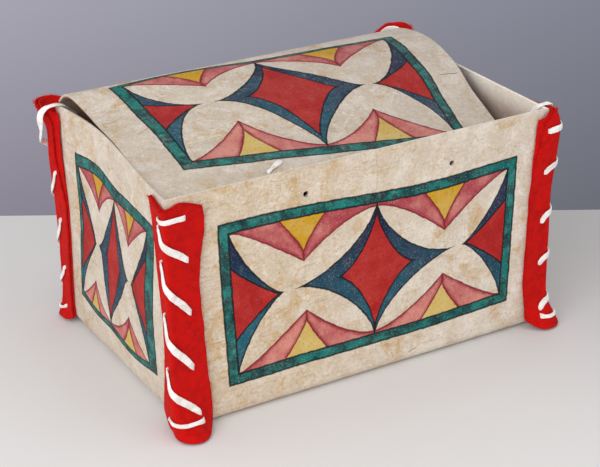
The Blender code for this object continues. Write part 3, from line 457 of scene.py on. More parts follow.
class Finish(Nodes):
    """A material and the nodes that its colour, roughness and relief come from."""

    def __init__(self, name):
        self.material = bpy.data.materials.new(name)
        self.material.use_nodes = True
        super().__init__(self.material.node_tree)
        self.shader = self.tree.nodes["Principled BSDF"]
        self.place = self.node("ShaderNodeTexCoord").outputs["Object"]

    def grain(self, scale, detail=3.0, stretch=None, roughness=0.5, twist=0.0):
        """Noise of a given fineness over the object, from 0 to 1."""
        place = self.place
        if stretch is not None:
            place = self.node("ShaderNodeMapping", {"Vector": place, "Scale": stretch}).outputs[0]
        made = self.node("ShaderNodeTexNoise", {"Vector": place, "Scale": scale, "Detail": detail,
                                                "Roughness": roughness, "Distortion": twist})
        return Signal(self.tree, made.outputs["Fac"])

    def ramp(self, signal, low, high):
        """0 below low, 1 above high and smooth between them."""
        made = self.node("ShaderNodeMapRange", {"Value": signal, "From Min": low, "From Max": high},
                         interpolation_type="SMOOTHSTEP")
        return Signal(self.tree, made.outputs["Result"])

    def relief(self, *layers):
        """The normal that layers of height bend in turn, each by its depth in metres."""
        under = {}
        for height, depth in layers:
            inputs = {"Strength": 1.0, "Distance": depth, "Height": height, **under}
            under = {"Normal": self.node("ShaderNodeBump", inputs).outputs["Normal"]}
        return under["Normal"]

    def put(self, **inputs):
        for key, value in inputs.items():
            self.link(value, self.shader.inputs[key.replace("_", " ")])
        return self.material


# Painted rawhide

def star_edge(across, up, star, half):
    """Distance in millimetres outside a four-pointed star with hollow sides."""
    reach, rise, bend = star
    x = (across / reach).most(0.002)
    y = (up / rise).most(0.002)
    xn = x ** bend
    yn = y ** bend
    total = xn + yn
    steep_x = xn / x / (reach * half[0])
    steep_y = yn / y / (rise * half[1])
    steep = total ** ((1 - bend) / bend) * (steep_x * steep_x + steep_y * steep_y).root()
    return (total ** (1 / bend) - 1) / steep


def wing_edge(across, up, half):
    """Distance in millimetres below a pair of wings that meet in a point."""
    turn, low = WING_POINT
    inner = low + (WING_TOP_IN - low) * (1 - (across / turn).least(1.0) ** 1.65)
    beyond = ((across - turn) / (WING_OUTER - turn)).most(0.0).least(1.0)
    outer = low + (WING_TOP_OUT - low) * (1 - (1 - beyond) ** 1.2)
    return (inner.most(outer) - up) * half[1] / 1.2


def sun_edge(across, up, half):
    """Distance in millimetres outside the yellow point between two wings."""
    rise = ((up - SUN_POINT) / (1 - SUN_POINT)).most(0.0)
    return ((across - WING_POINT[0]).size() - SUN_FOOT * rise ** 1.25) * half[0] / 1.28


def crack_mark(sideways, level, crack, half):
    """1 along a short crack between two places in the design."""
    x0, y0, x1, y1 = crack
    run = (x1 - x0) * half[0]
    rise = (y1 - y0) * half[1]
    length = math.hypot(run, rise)
    x = (sideways - x0) * half[0]
    y = (level - y0) * half[1]
    along = (x * run + y * rise) / length
    beside = (y * run - x * rise) / length
    return (beside.size() - 0.35).inside(0.3) * ((along - length / 2).size() - length / 2).inside(1.2)


def hide_finish(name, panel=None, brown_and_shaded_inside=False):
    """Dry rawhide, painted where its faces carry the design of that panel, or bare hide whose inner face is
    browned, partly as the hide's own colour and partly as painted shade inside the box, on the back wall and
    round the fold above it."""
    hide = bpy.context.scene.case_hide
    look = PANELS.get(panel)
    finish = Finish(name)
    ramp = finish.ramp
    x, y, z = finish.split(finish.place)
    patches = finish.grain(17.0, 4.0, roughness=0.62)
    clouds = finish.grain(52.0, 5.0, roughness=0.6)
    fibres = finish.grain(520.0, stretch=(1.0, 0.55, 1.0), roughness=0.7)
    grit = finish.grain(360.0, 4.0, roughness=0.8)
    blots = finish.grain(30.0, 5.0, roughness=0.62, twist=1.6)
    streaks = finish.grain(62.0, 4.0, stretch=(1.0, 1.0, 1.5), roughness=0.7, twist=2.4)
    lines = finish.grain(240.0, stretch=(0.16, 0.16, 1.0), roughness=0.6, twist=0.6)
    scuffs = finish.grain(210.0, 4.0, roughness=0.7)
    colour = finish.mix(hide.bone, hide.pale, ramp(clouds, 0.4, 0.64) * 0.6 + 0.15)
    rubbed = ramp(patches, 0.45, 0.6)
    if look is not None:
        # Painted shade: the hide darkens by a share that runs from the panel's left to its right
        right = ramp(x, -0.12, 0.17)
        painted_shade_left, painted_shade_right = look["painted_shade"]
        painted_shade = right * (painted_shade_right - painted_shade_left) + painted_shade_left
        ochre = (1 - right) * look["ochre"]
        rubbed = (rubbed + ochre).clipped()
        colour = finish.lay(colour, (srgb(174, 160, 150), painted_shade * 0.4), (srgb(202, 172, 128), ochre * 0.42))
    veins = 1 - ramp((streaks - 0.5).size(), 0.002, 0.016)
    colour = finish.lay(colour, (hide.stain, ramp(blots, 0.5, 0.66) * (rubbed * 0.58 + 0.16)),
                        (srgb(162, 118, 62), veins * (rubbed * 0.55 + 0.05)),
                        (srgb(168, 134, 92), ramp(lines, 0.58, 0.7) * (rubbed * 0.34 + 0.1)),
                        (srgb(240, 232, 220), ramp(streaks, 0.57, 0.7) * 0.45),
                        (srgb(160, 130, 98), ramp(scuffs, 0.56, 0.72) * (rubbed * 0.26 + 0.08)),
                        (srgb(128, 108, 88), ramp(grit, 0.5, 0.72) * 0.3),
                        (srgb(242, 236, 228), ramp(1 - grit, 0.5, 0.72) * 0.34))
    rough = hide.roughness + (clouds - 0.5) * 0.2
    if look is not None:
        colour, painted = paint(finish, colour, look, clouds, patches, grit, z)
        rough = rough + painted * 0.06
        # Painted shade, laid over the paint as well
        colour = finish.mix(colour, srgb(84, 72, 66), painted_shade * 0.16)
    else:
        colour = finish.mix(colour, srgb(236, 228, 219), 0.35)
    if brown_and_shaded_inside:
        # The inner face browned: partly the hide's own colour, partly painted shade inside the box
        above = (z - FOLD_AXIS.z).most(0.0)
        inner = 1 - ramp(y - FOLD_AXIS.y + above * 1.15, -0.0006, 0.0004)
        colour = finish.mix(colour, srgb(*INNER_TAN_AND_SHADE), inner * 0.75)
    normal = finish.relief((finish.grain(95.0, 2.0), 0.0006), (finish.grain(230.0, roughness=0.6), 0.00045),
                           (fibres, 0.00024), (finish.grain(1500.0, 2.0), 0.00008))
    return finish.put(Base_Color=colour, Roughness=rough, Normal=normal, Specular_IOR_Level=0.2)


def paint(finish, bare, look, clouds, patches, grit, height):
    """The painted design over the bare hide: its colour, and how much paint covers the hide."""
    dye = bpy.context.scene.case_paint
    ramp = finish.ramp
    half = look["half"]
    wobble = finish.grain(190.0, 2.0)
    wobble_up = finish.grain(170.0, 2.0, stretch=(1.1, 1.0, 0.9))
    sideways, level, _ = finish.split(finish.node("ShaderNodeUVMap", uv_map="design").outputs[0])
    across = (sideways + (wobble - 0.5) * (1.6 / half[0])).size()
    level = level + (wobble_up - 0.5) * (1.6 / half[1])
    up = level.size()
    frame_out = ((across - 1) * half[0]).most((up - 1) * half[1])
    left, right, bottom, top = look["border"]
    side_out = (across - 1) * half[0] - sideways * ((right - left) / 2) - (left + right) / 2
    rise_out = (up - 1) * half[1] - level * ((top - bottom) / 2) - (top + bottom) / 2
    border_out = side_out.most(rise_out)
    diamond = star_edge(across, up, DIAMOND, half)
    heart = star_edge(across, up, look["heart"], half)
    ends = star_edge(1 - across, up, look["end"], half)
    end_heart = star_edge(1 - across, up, look["end_heart"], half)
    wings = wing_edge(across, up, half)
    sun = sun_edge(across, up, half)
    rim_tan_and_shade, low_tan_and_shade = look["inner_tan_and_shade"]
    # Inner faces: paler, partly their own colour and partly painted light on the inside walls; then browned,
    # partly their own colour and partly painted shade that deepens lower in the box and under the lid
    deep_shade = 1 - ramp(height, 0.186, 0.209)
    within = finish.lay(bare, (srgb(236, 228, 219), 0.66),
                        (srgb(*INNER_TAN_AND_SHADE), deep_shade * (low_tan_and_shade - rim_tan_and_shade) + rim_tan_and_shade))
    colour = finish.mix(bare, within, ramp(up, 4.0, 7.0))

    thin = ramp(clouds, 0.35, 0.68)
    strokes = finish.grain(160.0, stretch=(1.0, 1.0, 0.35), roughness=0.65)
    tide = ramp(patches, 0.36, 0.66)
    pools = ramp(finish.grain(75.0, roughness=0.6), 0.4, 0.6)
    teal = finish.mix(dye.teal, dye.sea, (pools * 0.7 + strokes * 0.9 - 0.35).clipped())
    dark = (tide * 0.35 + strokes * 0.5 - level * 0.5 - sideways * 0.15 - 0.05).clipped()
    blue = finish.mix(dye.blue, dye.slate, dark)
    red = finish.mix(dye.red, dye.coral, thin * 0.6)
    rim = 1 - ramp(wings.size().least(sun.size()), 0.4, 3.8)
    dry = tide * 0.45 + thin * 0.45 + strokes * 0.5 - level * 0.22 - 0.12
    pink = finish.mix(dye.pink, dye.blush, (dry - rim * 0.7).clipped())
    yellow = finish.mix(dye.yellow, dye.straw, (thin * 0.5 - level * 0.5 + 0.2).clipped())

    specks = ramp(finish.grain(800.0, 2.0, roughness=0.6), 0.6, 0.69)
    rubs = ramp(finish.grain(120.0, 5.0, stretch=(1.0, 1.0, 0.5), roughness=0.75), 0.57, 0.73)
    gone = specks * 0.36 + rubs * (look["wear"] * 0.5) + thin * (look["wear"] * 0.1)
    field = frame_out.inside()
    cover = None
    for wash, edge, ground, strength in (
            (pink, wings, field, 0.94), (yellow, sun, field, 0.95), (blue, diamond, field, 1.0),
            (blue, ends, field, 1.0), (red, heart, field, 1.0), (red, end_heart, field, 1.0),
            (teal, border_out, 1 - field, 1.0)):
        shown = edge.inside() * ground * (strength - gone).clipped()
        colour = finish.mix(colour, wash, shown)
        cover = shown if cover is None else cover.most(shown)
    width = finish.grain(75.0, 2.0) * 0.7 + (dye.line - 0.35)
    kept = 1 - gone * 0.7
    wine = (wings.size().least(sun.size().most(wings)) - width).inside() * field
    stars = diamond.size().least(ends.size()).least(heart.size()).least(end_heart.size())
    ink = (stars - width).inside() * field
    rules = (frame_out.size().least(border_out.size()) - width * 1.15).inside()
    colour = finish.lay(colour, (dye.ink, cover * ramp(grit, 0.52, 0.72) * 0.5),
                        (srgb(226, 214, 200), cover * ramp(1 - grit, 0.64, 0.74) * 0.2),
                        (dye.wine, wine * kept * 0.92), (dye.ink, ink * kept * 0.95),
                        (dye.ink, rules * kept * 0.92))
    if look["crease"]:
        crease = ((sideways * half[0] + (wobble - 0.5) * 6.0).size() - 0.25).inside(0.5)
        colour = finish.mix(colour, srgb(120, 92, 66), crease * ramp(level, 1.16, 1.24) * 0.42)
    for crack in look["cracks"]:
        colour = finish.mix(colour, srgb(58, 40, 30), crack_mark(sideways, level, crack, half) * 0.75)
    return colour, cover


def cloth_finish(name):
    """Fulled scarlet wool with a short nap."""
    cloth = bpy.context.scene.case_cloth
    finish = Finish(name)
    nap = finish.grain(1100.0, roughness=0.7)
    lumps = finish.grain(150.0)
    dust = finish.ramp(finish.grain(420.0, 2.0), 0.7, 0.8)
    # Crimson and scarlet stand for wool in its nap's shade and lit wool: painted shade and light, laid at
    # random by the nap and lumps
    colour = finish.lay(cloth.crimson, (cloth.scarlet, finish.ramp(nap * 0.6 + lumps * 0.4, 0.3, 0.6)),
                        (srgb(216, 78, 66), dust * 0.22))
    normal = finish.relief((lumps, 0.0007), (nap, 0.00045))
    return finish.put(Base_Color=colour, Roughness=0.96, Normal=normal, Sheen_Weight=0.14,
                      Sheen_Roughness=0.5, Sheen_Tint=srgb(255, 110, 96), Specular_IOR_Level=0.15)


def thong_finish(name):
    """Soft white hide, cut into a flat thong."""
    finish = Finish(name)
    clean = finish.ramp(finish.grain(130.0, 4.0), 0.36, 0.56)
    colour = finish.mix(srgb(222, 214, 207), bpy.context.scene.case_thong.white, clean)
    normal = finish.relief((finish.grain(480.0), 0.0004), (finish.grain(1400.0), 0.00016))
    return finish.put(Base_Color=colour, Roughness=0.78, Normal=normal, Sheen_Weight=0.12,
                      Specular_IOR_Level=0.25)


# Shapes

def mix(a, b, share):
    return a + (b - a) * share


def limit(value):
    """A number held between 0 and 1."""
    return min(max(value, 0.0), 1.0)


def ease(share):
    """A smooth step from 0 to 1."""
    return share * share * (3 - 2 * share)


def curve_point(a, b, into, away, share):
    """A place on the smooth curve that leaves a in one direction and comes to b in another."""
    leaving = into * (share * (1 - share) ** 2) + away * (share * share * (share - 1))
    return a * (1 - ease(share)) + b * ease(share) + leaving


def smooth_curve(points, share):
    """Height of a smooth curve through a list of (share, height) points."""
    last = len(points) - 1

    def slope(i):
        low, high = points[max(i - 1, 0)], points[min(i + 1, last)]
        return (high[1] - low[1]) / (high[0] - low[0])

    i = next((i for i in range(last) if share <= points[i + 1][0]), last - 1)
    (x0, y0), (x1, y1) = points[i:i + 2]
    run = x1 - x0
    return curve_point(y0, y1, slope(i) * run, slope(i + 1) * run, (share - x0) / run)


def flare(height):
    risen = 1 - math.exp(-height / FLARE_RISE)
    return FLARE * risen + FLARE_TOP * (height / WALL_HEIGHT) ** BOW_POWER


def end_outside(side, y, height):
    """X of an end wall's outer face."""
    if side > 0:
        return HALF_WIDTH
    inside = limit((HALF_DEPTH - y) / (2 * HALF_DEPTH))
    bow = END_BOW * math.sin(math.pi * inside ** BOW_SKEW) ** 2 * (height / WALL_HEIGHT) ** BOW_POWER
    return -(HALF_WIDTH + flare(height) * inside) + bow


def design_map(places):
    """Smooth map from places on a panel to places in the painted design."""
    at = np.array(places, float)
    span = np.ptp(at, axis=0).max()
    at = at / span
    goal = np.array(MARKS[:len(at)], float)

    def bend(a, b):
        squared = ((a[:, None, :] - b[None, :, :]) ** 2).sum(2)
        return squared * np.log(squared + 1e-12)

    count = len(at)
    flat = np.hstack([np.ones((count, 1)), at])
    top = np.hstack([bend(at, at) + np.eye(count) * 0.004, flat])
    system = np.vstack([top, np.hstack([flat.T, np.zeros((3, 3))])])
    weights = np.linalg.solve(system, np.vstack([goal, np.zeros((3, 2))]))

    def place(points):
        spots = np.array(points, float).reshape(-1, 2) / span
        return np.hstack([bend(spots, at), np.ones((len(spots), 1)), spots]) @ weights

    return place


def add_object(data, place=None):
    """A new object in the scene, named after its data."""
    obj = bpy.data.objects.new(data.name, data)
    bpy.context.scene.collection.objects.link(obj)
    if place is not None:
        obj.matrix_world = place
    return obj


def smooth_object(mesh, finish, body="box", angle=50):
    obj = add_object(mesh)
    mesh.materials.append(finish)
    mesh.shade_smooth()
    mesh.set_sharp_from_angle(angle=math.radians(angle))
    if body is not None:
        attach(obj, body)
    return obj


def closed_mesh(name, points, faces):
    """A mesh of those points and faces, with its faces turned outward."""
    mesh = bpy.data.meshes.new(name)
    mesh.from_pydata([tuple(p) for p in points], [], faces)
    build = bmesh.new()
    build.from_mesh(mesh)
    bmesh.ops.recalc_face_normals(build, faces=build.faces)
    build.to_mesh(mesh)
    build.free()
    return mesh


def spread(rows, columns, pair):
    """A grid of what a function gives for shares of the way along its rows and columns."""
    return [[pair(i / rows, j / columns) for j in range(columns + 1)] for i in range(rows + 1)]


def slab_mesh(name, grid, design=None):
    """A closed sheet from a grid of outer and inner places; design gives the outer face's places in the
    painting."""
    rows = len(grid)
    columns = len(grid[0])
    count = rows * columns
    faces = []

    def at(i, j, low=0):
        return low * count + i * columns + j

    for i in range(rows - 1):
        for j in range(columns - 1):
            faces.append((at(i, j), at(i + 1, j), at(i + 1, j + 1), at(i, j + 1)))
            faces.append((at(i, j, 1), at(i, j + 1, 1), at(i + 1, j + 1, 1), at(i + 1, j, 1)))
    rim = [(0, j) for j in range(columns)] + [(i, columns - 1) for i in range(1, rows)]
    rim += [(rows - 1, j) for j in range(columns - 2, -1, -1)] + [(i, 0) for i in range(rows - 2, 0, -1)]
    for a, b in zip(rim, rim[1:] + rim[:1]):
        faces.append((at(*a), at(*b), at(*b, 1), at(*a, 1)))
    mesh = closed_mesh(name, [pair[face] for face in (0, 1) for row in grid for pair in row], faces)
    layer = mesh.uv_layers.new(name="design")
    places = np.full((2 * count, 2), BARE)
    if design is not None:
        places[:count] = design
    corners = np.empty(len(mesh.loops), dtype=np.int32)
    mesh.loops.foreach_get("vertex_index", corners)
    layer.data.foreach_set("uv", places[corners].astype(np.float32).ravel())
    return mesh


def soften_rim(obj):
    bevel = obj.modifiers.new("worn rim", "BEVEL")
    bevel.width = RIM_WEAR
    bevel.segments = 2
    bevel.limit_method = "ANGLE"
    bevel.angle_limit = math.radians(50)
    bevel.use_clamp_overlap = True


def wave(place, height, shift):
    spot = Vector(place) * WAVE_FINENESS + Vector((shift, 0, 0))
    return height * (noise.noise(spot) + 0.5 * noise.noise(spot * 2.3))


def fade(share, reach):
    """0 at both ends of a run, 1 in its middle."""
    return ease(limit(min(share, 1 - share) / reach))


def wall_profile():
    """Inward offset and height of a wall's outer and inner faces, and how freely it waves."""
    stations = []
    for step in range(FOLD_STEPS + 1):
        angle = math.pi / 2 * step / FOLD_STEPS
        outer, inner = [(FOLD_RADIUS - bend * math.sin(angle), FOLD_RADIUS - bend * math.cos(angle))
                        for bend in (FOLD_RADIUS, FOLD_RADIUS - HIDE)]
        stations.append((outer, inner, 0.0))
    for step in range(1, WALL_ROWS + 1):
        share = step / WALL_ROWS
        height = mix(FOLD_RADIUS, WALL_HEIGHT, share)
        stations.append(((0.0, height), (HIDE, height), fade(share, CALM_UP)))
    return stations


def wall_mesh(name, point, side, columns, marks, along, shift):
    """A wall from its foot fold to its top, with slow waves in its middle and its painting's places."""
    height = bpy.context.scene.case_hide.wave
    push = Vector((0, side, 0)) if along == 0 else Vector((side, 0, 0))
    grid = []
    for j in range(columns + 1):
        share = j / columns
        column = []
        for outer, inner, loose in wall_profile():
            here = point(side, share, *outer)
            sway = push * (wave(here, height, shift) * loose * fade(share, CALM_ACROSS))
            column.append((here + sway, point(side, share, *inner) + sway))
        grid.append(column)
    design = None
    if marks is not None:
        flip = -1 if along == 1 and side < 0 else 1
        design = design_map(marks)([(over[along] * flip, over.z) for column in grid for over, _ in column])
    return slab_mesh(name, grid, design)


def long_wall_point(side, share, inset, height):
    y = side * (HALF_DEPTH - inset)
    left = end_outside(-1, side * HALF_DEPTH, height) + inset
    return Vector((mix(left, HALF_WIDTH - inset, share), y, height))


def end_wall_point(side, share, inset, height):
    y = mix(HALF_DEPTH - inset, inset - HALF_DEPTH, share)
    return Vector((end_outside(side, y, height) - side * inset, y, height))


def bottom_mesh(name):
    edge = FOLD_RADIUS - BOTTOM_LAP

    def pair(across, back):
        low = Vector(((HALF_WIDTH - edge) * (2 * across - 1), (HALF_DEPTH - edge) * (2 * back - 1), 0.0))
        return low + UP * HIDE, low

    return slab_mesh(name, spread(*BOTTOM_CELLS, pair))


def cut_holes(obj, rods):
    """Cuts worn round holes into a piece's own mesh, with short rods of slightly uneven outline."""
    build = bmesh.new()
    for start, end, radius in rods:
        middle = (start + end) / 2
        way = (end - start).normalized()
        place = Matrix.Translation(middle) @ way.to_track_quat("Z", "Y").to_matrix().to_4x4()
        made = bmesh.ops.create_cone(build, cap_ends=True, segments=14, radius1=radius, radius2=radius,
                                     depth=(end - start).length, matrix=place)
        for vert in made["verts"]:
            away = vert.co - middle
            away -= way * away.dot(way)
            vert.co += away.normalized() * radius * 0.22 * noise.noise(away * 900 + start * 50)
    mesh = bpy.data.meshes.new(obj.name + "_holes")
    build.to_mesh(mesh)
    build.free()
    layer = mesh.uv_layers.new(name="design")
    layer.data.foreach_set("uv", np.full(2 * len(mesh.loops), BARE, dtype=np.float32))
    cutter = add_object(mesh)
    modifier = obj.modifiers.new("holes", "BOOLEAN")
    modifier.operation = "DIFFERENCE"
    modifier.solver = "EXACT"
    modifier.object = cutter
    bpy.context.view_layer.update()
    graph = bpy.context.evaluated_depsgraph_get()
    mesh = bpy.data.meshes.new_from_object(obj.evaluated_get(graph), depsgraph=graph)
    obj.modifiers.remove(modifier)
    obj.data = mesh
    bpy.data.objects.remove(cutter, do_unlink=True)


# Lid

def lid_edge(side, share):
    if side < 0:
        y = mix(FOLD_AXIS.y, LID_FRONT_GAP_LEFT + HIDE - HALF_DEPTH, share)
        wall = end_outside(-1, y, WALL_HEIGHT) + HIDE
        return Vector((wall + LID_SIDE_GAP, y, FOLD_AXIS.z + smooth_curve(LID_LEFT_PROFILE, share)))
    y = mix(FOLD_AXIS.y, LID_FRONT_GAP_RIGHT + HIDE - HALF_DEPTH, share)
    inset = mix(LID_BACK_RIGHT, LID_FRONT_RIGHT, share)
    return Vector((HALF_WIDTH - HIDE - inset, y, FOLD_AXIS.z + smooth_curve(LID_RIGHT_PROFILE, share)))


def lid_middle(across, share):
    return mix(lid_edge(-1, share), lid_edge(1, share), across)


def lid_frame(across, share):
    """Point and upward normal of the lid's middle sheet."""
    step = 0.002
    forward = lid_middle(across, min(share + step, 1.0)) - lid_middle(across, max(share - step, 0.0))
    aside = lid_middle(min(across + step, 1.0), share) - lid_middle(max(across - step, 0.0), share)
    normal = forward.cross(aside).normalized()
    return lid_middle(across, share), -normal if normal.z < 0 else normal


def lid_place(x, y):
    """Across and forward shares of the lid under a point of its plan."""
    across = 0.5
    for _ in range(12):
        share = (FOLD_AXIS.y - y) / (FOLD_AXIS.y - lid_middle(across, 1.0).y)
        left, right = lid_middle(0.0, share).x, lid_middle(1.0, share).x
        across = (x - left) / (right - left)
    return across, share


def lid_mesh(name):
    """The lid's sheet, from a little before the fold to its front edge."""
    height = bpy.context.scene.case_hide.wave
    spots = []

    def pair(t, across):
        share = mix(LID_START, 1.0, t * (0.5 + 0.5 * t))
        spots.append((across, share))
        here, normal = lid_frame(across, share)
        sway = wave(here, height, 40.0) * (fade(across, CALM_ACROSS) * fade(share, CALM_LID))
        return here + normal * (HIDE / 2 + sway), here + normal * (sway - HIDE / 2)

    grid = spread(LID_ROWS, LID_COLUMNS, pair)
    return slab_mesh(name, grid, design_map(LID_MARKS)(spots))


def fold_mesh(name):
    """The hide's fold, from the back wall's top round to the lid's back."""
    def pair(across, t):
        pivot = Vector((lid_middle(across, 0.0).x, FOLD_AXIS.y, FOLD_AXIS.z))
        low = Vector((pivot.x, FOLD_AXIS.y, WALL_HEIGHT - BEND_DOWN))
        high = lid_middle(across, BEND_SHARE)
        middle = low * (1 - t) ** 2 + pivot * 2 * t * (1 - t) + high * t * t
        travel = (pivot - low) * (1 - t) + (high - pivot) * t
        away = Vector((0, travel.z, -travel.y)).normalized() * (HIDE / 2 + BEND_COVER)
        return middle + away, middle - away

    return slab_mesh(name, spread(BEND_COLUMNS, BEND_ROWS, pair))


# Corner strips

class Corner:
    """Places around a corner by leg, distance along it, distance off the wall and height."""

    def __init__(self, spec):
        self.sx, self.sy = spec["side"]
        self.edges = {leg: spec[leg + "_edge"] for leg in LEGS}
        self.lobes = dict(zip(LEGS, spec["lobes"]))
        self.holes = dict(zip(LEGS, spec["holes"]))
        self.stands = spec["stands"]
        self.laps = spec["laps"]
        self.tops = list(zip(TOP_PLACES, spec["tops"]))
        self.fold = spec["fold"]
        self.open = "end" if self.fold == "long" else "long"
        self.levels = [WALL_HEIGHT * (1 - depth) for depth in spec["levels"]]
        self.start = spec["start"]
        self.foot_dip = spec["foot_dip"]
        self.slack = spec.get("slack", 0.0)
        self.haste = spec.get("haste", 0.0)

    def up(self, points, height):
        """Value at a height of a curve over shares of the wall's height, never below 0."""
        return max(smooth_curve(points, limit(height / WALL_HEIGHT)), 0.0)

    def edge(self, leg, height):
        """How far from the corner the strip's edge lies on one wall."""
        return self.up(self.edges[leg], height)

    def belly(self, kind, reach, height):
        """How far the strip stands off, beyond its thickness, on a leg or at a turn in degrees."""
        stand = self.up(self.stands, height)
        if kind == "turn":
            return stand * mix(self.lobes["end"][0], self.lobes["long"][0], ease(reach / 90))
        near, far = self.lobes[kind]
        return stand * mix(near, far, min(reach / self.edge(kind, height), 1.0) ** 2)

    def lean(self, kind, reach, height):
        """How fast the strip swells downward there, as a slope away from the vertical."""
        low = self.belly(kind, reach, height - LEAN_STEP)
        high = self.belly(kind, reach, height + LEAN_STEP)
        return (low - high) / (2 * LEAN_STEP)

    def slant(self, kind, reach, height):
        """How much further off the wall a layer lies there than it would over a strip that doesn't lean."""
        rise = self.lean(kind, reach, height)
        here = self.belly(kind, reach, height)
        if kind == "turn":
            near = self.belly(kind, reach - TURN_STEP, height)
            aside = (here - near) / (math.radians(TURN_STEP) * (CLOTH_INNER + here))
        else:
            near = self.belly(kind, max(reach - LEAN_STEP, 0.0), height)
            aside = (here - near) / LEAN_STEP
        return min(math.sqrt(1 + rise * rise + aside * aside), MOST_SLANT)

    def normal(self, kind, reach=0.0):
        angle = math.radians({"end": 0.0, "long": 90.0}.get(kind, reach))
        return Vector((self.sx * math.cos(angle), self.sy * math.sin(angle), 0))

    def at(self, kind, reach, off, height):
        """A place on a leg, or around the corner: turn 0 is the end wall's side and 90 the long wall's."""
        y = self.sy * (HALF_DEPTH - (reach if kind == "end" else 0.0))
        x = end_outside(self.sx, y, height) - (self.sx * reach if kind == "long" else 0.0)
        return Vector((x, y, height)) + self.normal(kind, reach) * off


def cloth_top(corner, kind, share):
    """Height of the strip's upper end across the strip."""
    middle = TOP_PLACES[2]
    place = {"long": middle * (1 - share), "end": mix(middle, 1.0, share)}.get(kind, middle)
    return WALL_HEIGHT + smooth_curve(corner.tops, place)


def cloth_section(corner):
    """Stations around the strip from its open edge, over the fold and back, each a leg with a share of it or
    a turn in degrees, how far past that it lies, how far off the wall, and whether a lap shortens it."""
    turns = CLOTH_TURNS if corner.open == "end" else CLOTH_TURNS[::-1]

    def layer(off, bulge, lapped):
        return ([(corner.open, share, 0.0, off, lapped) for share in CLOTH_LEG_SHARES]
                + [("turn", turn, 0.0, off + bulge * math.sin(math.radians(2 * turn)), False)
                   for turn in turns]
                + [(corner.fold, share, 0.0, off, False) for share in CLOTH_LEG_SHARES[::-1]])

    half = (CLOTH_OUTER - CLOTH_INNER) / 2
    fold = [(corner.fold, 1.0, half * math.sin(angle), CLOTH_INNER + half + half * math.cos(angle), False)
            for angle in (math.pi / 4, math.pi / 2, math.pi * 3 / 4)]
    return layer(CLOTH_OUTER, CLOTH_BULGE, True) + fold + layer(CLOTH_INNER, 0.0, False)[::-1]


def cloth_grid(corner):
    """The strip's middle sheet from its foot to its top, with uneven edges and slow lumps."""
    def uneven(*place):
        return noise.noise(Vector(place) + Vector((corner.sx * 7.0, corner.sy * 3.0, 0)))

    grid = []
    for row in range(CLOTH_ROWS + 1):
        t = row / CLOTH_ROWS
        rise = t - 0.35 * math.sin(2 * math.pi * t) / (2 * math.pi)
        line = []
        for index, (kind, share, beyond, off, lapped) in enumerate(cloth_section(corner)):
            edge = share if kind != "turn" else 0.0
            top = cloth_top(corner, kind, share) + CLOTH_FRAY * uneven(edge * 9, index * 0.55, 3)
            height = mix(CLOTH_FOOT + CLOTH_FOOT_ROUND * edge ** 4, top, rise)
            reach = share
            if kind != "turn":
                width = corner.edge(kind, height) - (corner.up(corner.laps, height) if lapped else 0.0)
                reach = share * (width + CLOTH_RAGGED * uneven(height * 75, len(kind) * 3.1, 8)) + beyond
            lift = (off - CLOTH_INNER) * corner.slant(kind, reach, height)
            lump = CLOTH_LUMP * uneven(height * 70, index * 0.3, 5)
            off_here = CLOTH_INNER + corner.belly(kind, reach, height) + lift + lump
            line.append(corner.at(kind, reach, off_here, height))
        grid.append(line)
    return grid


def outward(corner, here, normal):
    """The normal's side that points away from the box."""
    away = here.xy.to_3d() - Vector((corner.sx * HALF_WIDTH, corner.sy * HALF_DEPTH, 0)) * 0.6
    return normal if normal.dot(away) > 0 else -normal


def cloth_mesh(name, grid, corner, lace):
    """The folded strip, with a dent under each stretch of thong."""
    rows = len(grid)
    columns = len(grid[0])
    places = [ring[0] for ring in lace.smooth()]
    tree = KDTree(len(places))
    for index, place in enumerate(places):
        tree.insert(place, index)
    tree.balance()
    sheet = []
    for i, line in enumerate(grid):
        pairs = []
        for j, here in enumerate(line):
            along = grid[min(i + 1, rows - 1)][j] - grid[max(i - 1, 0)][j]
            across = line[min(j + 1, columns - 1)] - line[max(j - 1, 0)]
            normal = across.cross(along).normalized()
            half = normal * CLOTH * (0.94 + 0.12 * noise.noise(here * 160)) / 2
            if j < CLOTH_OUTER_COLUMNS:
                dent = DENT_DEPTH * math.exp(-(tree.find(here)[2] / DENT_REACH) ** 2)
                here = here - outward(corner, here, normal) * dent
            pairs.append((here + half, here - half))
        sheet.append(pairs)
    return slab_mesh(name, sheet)


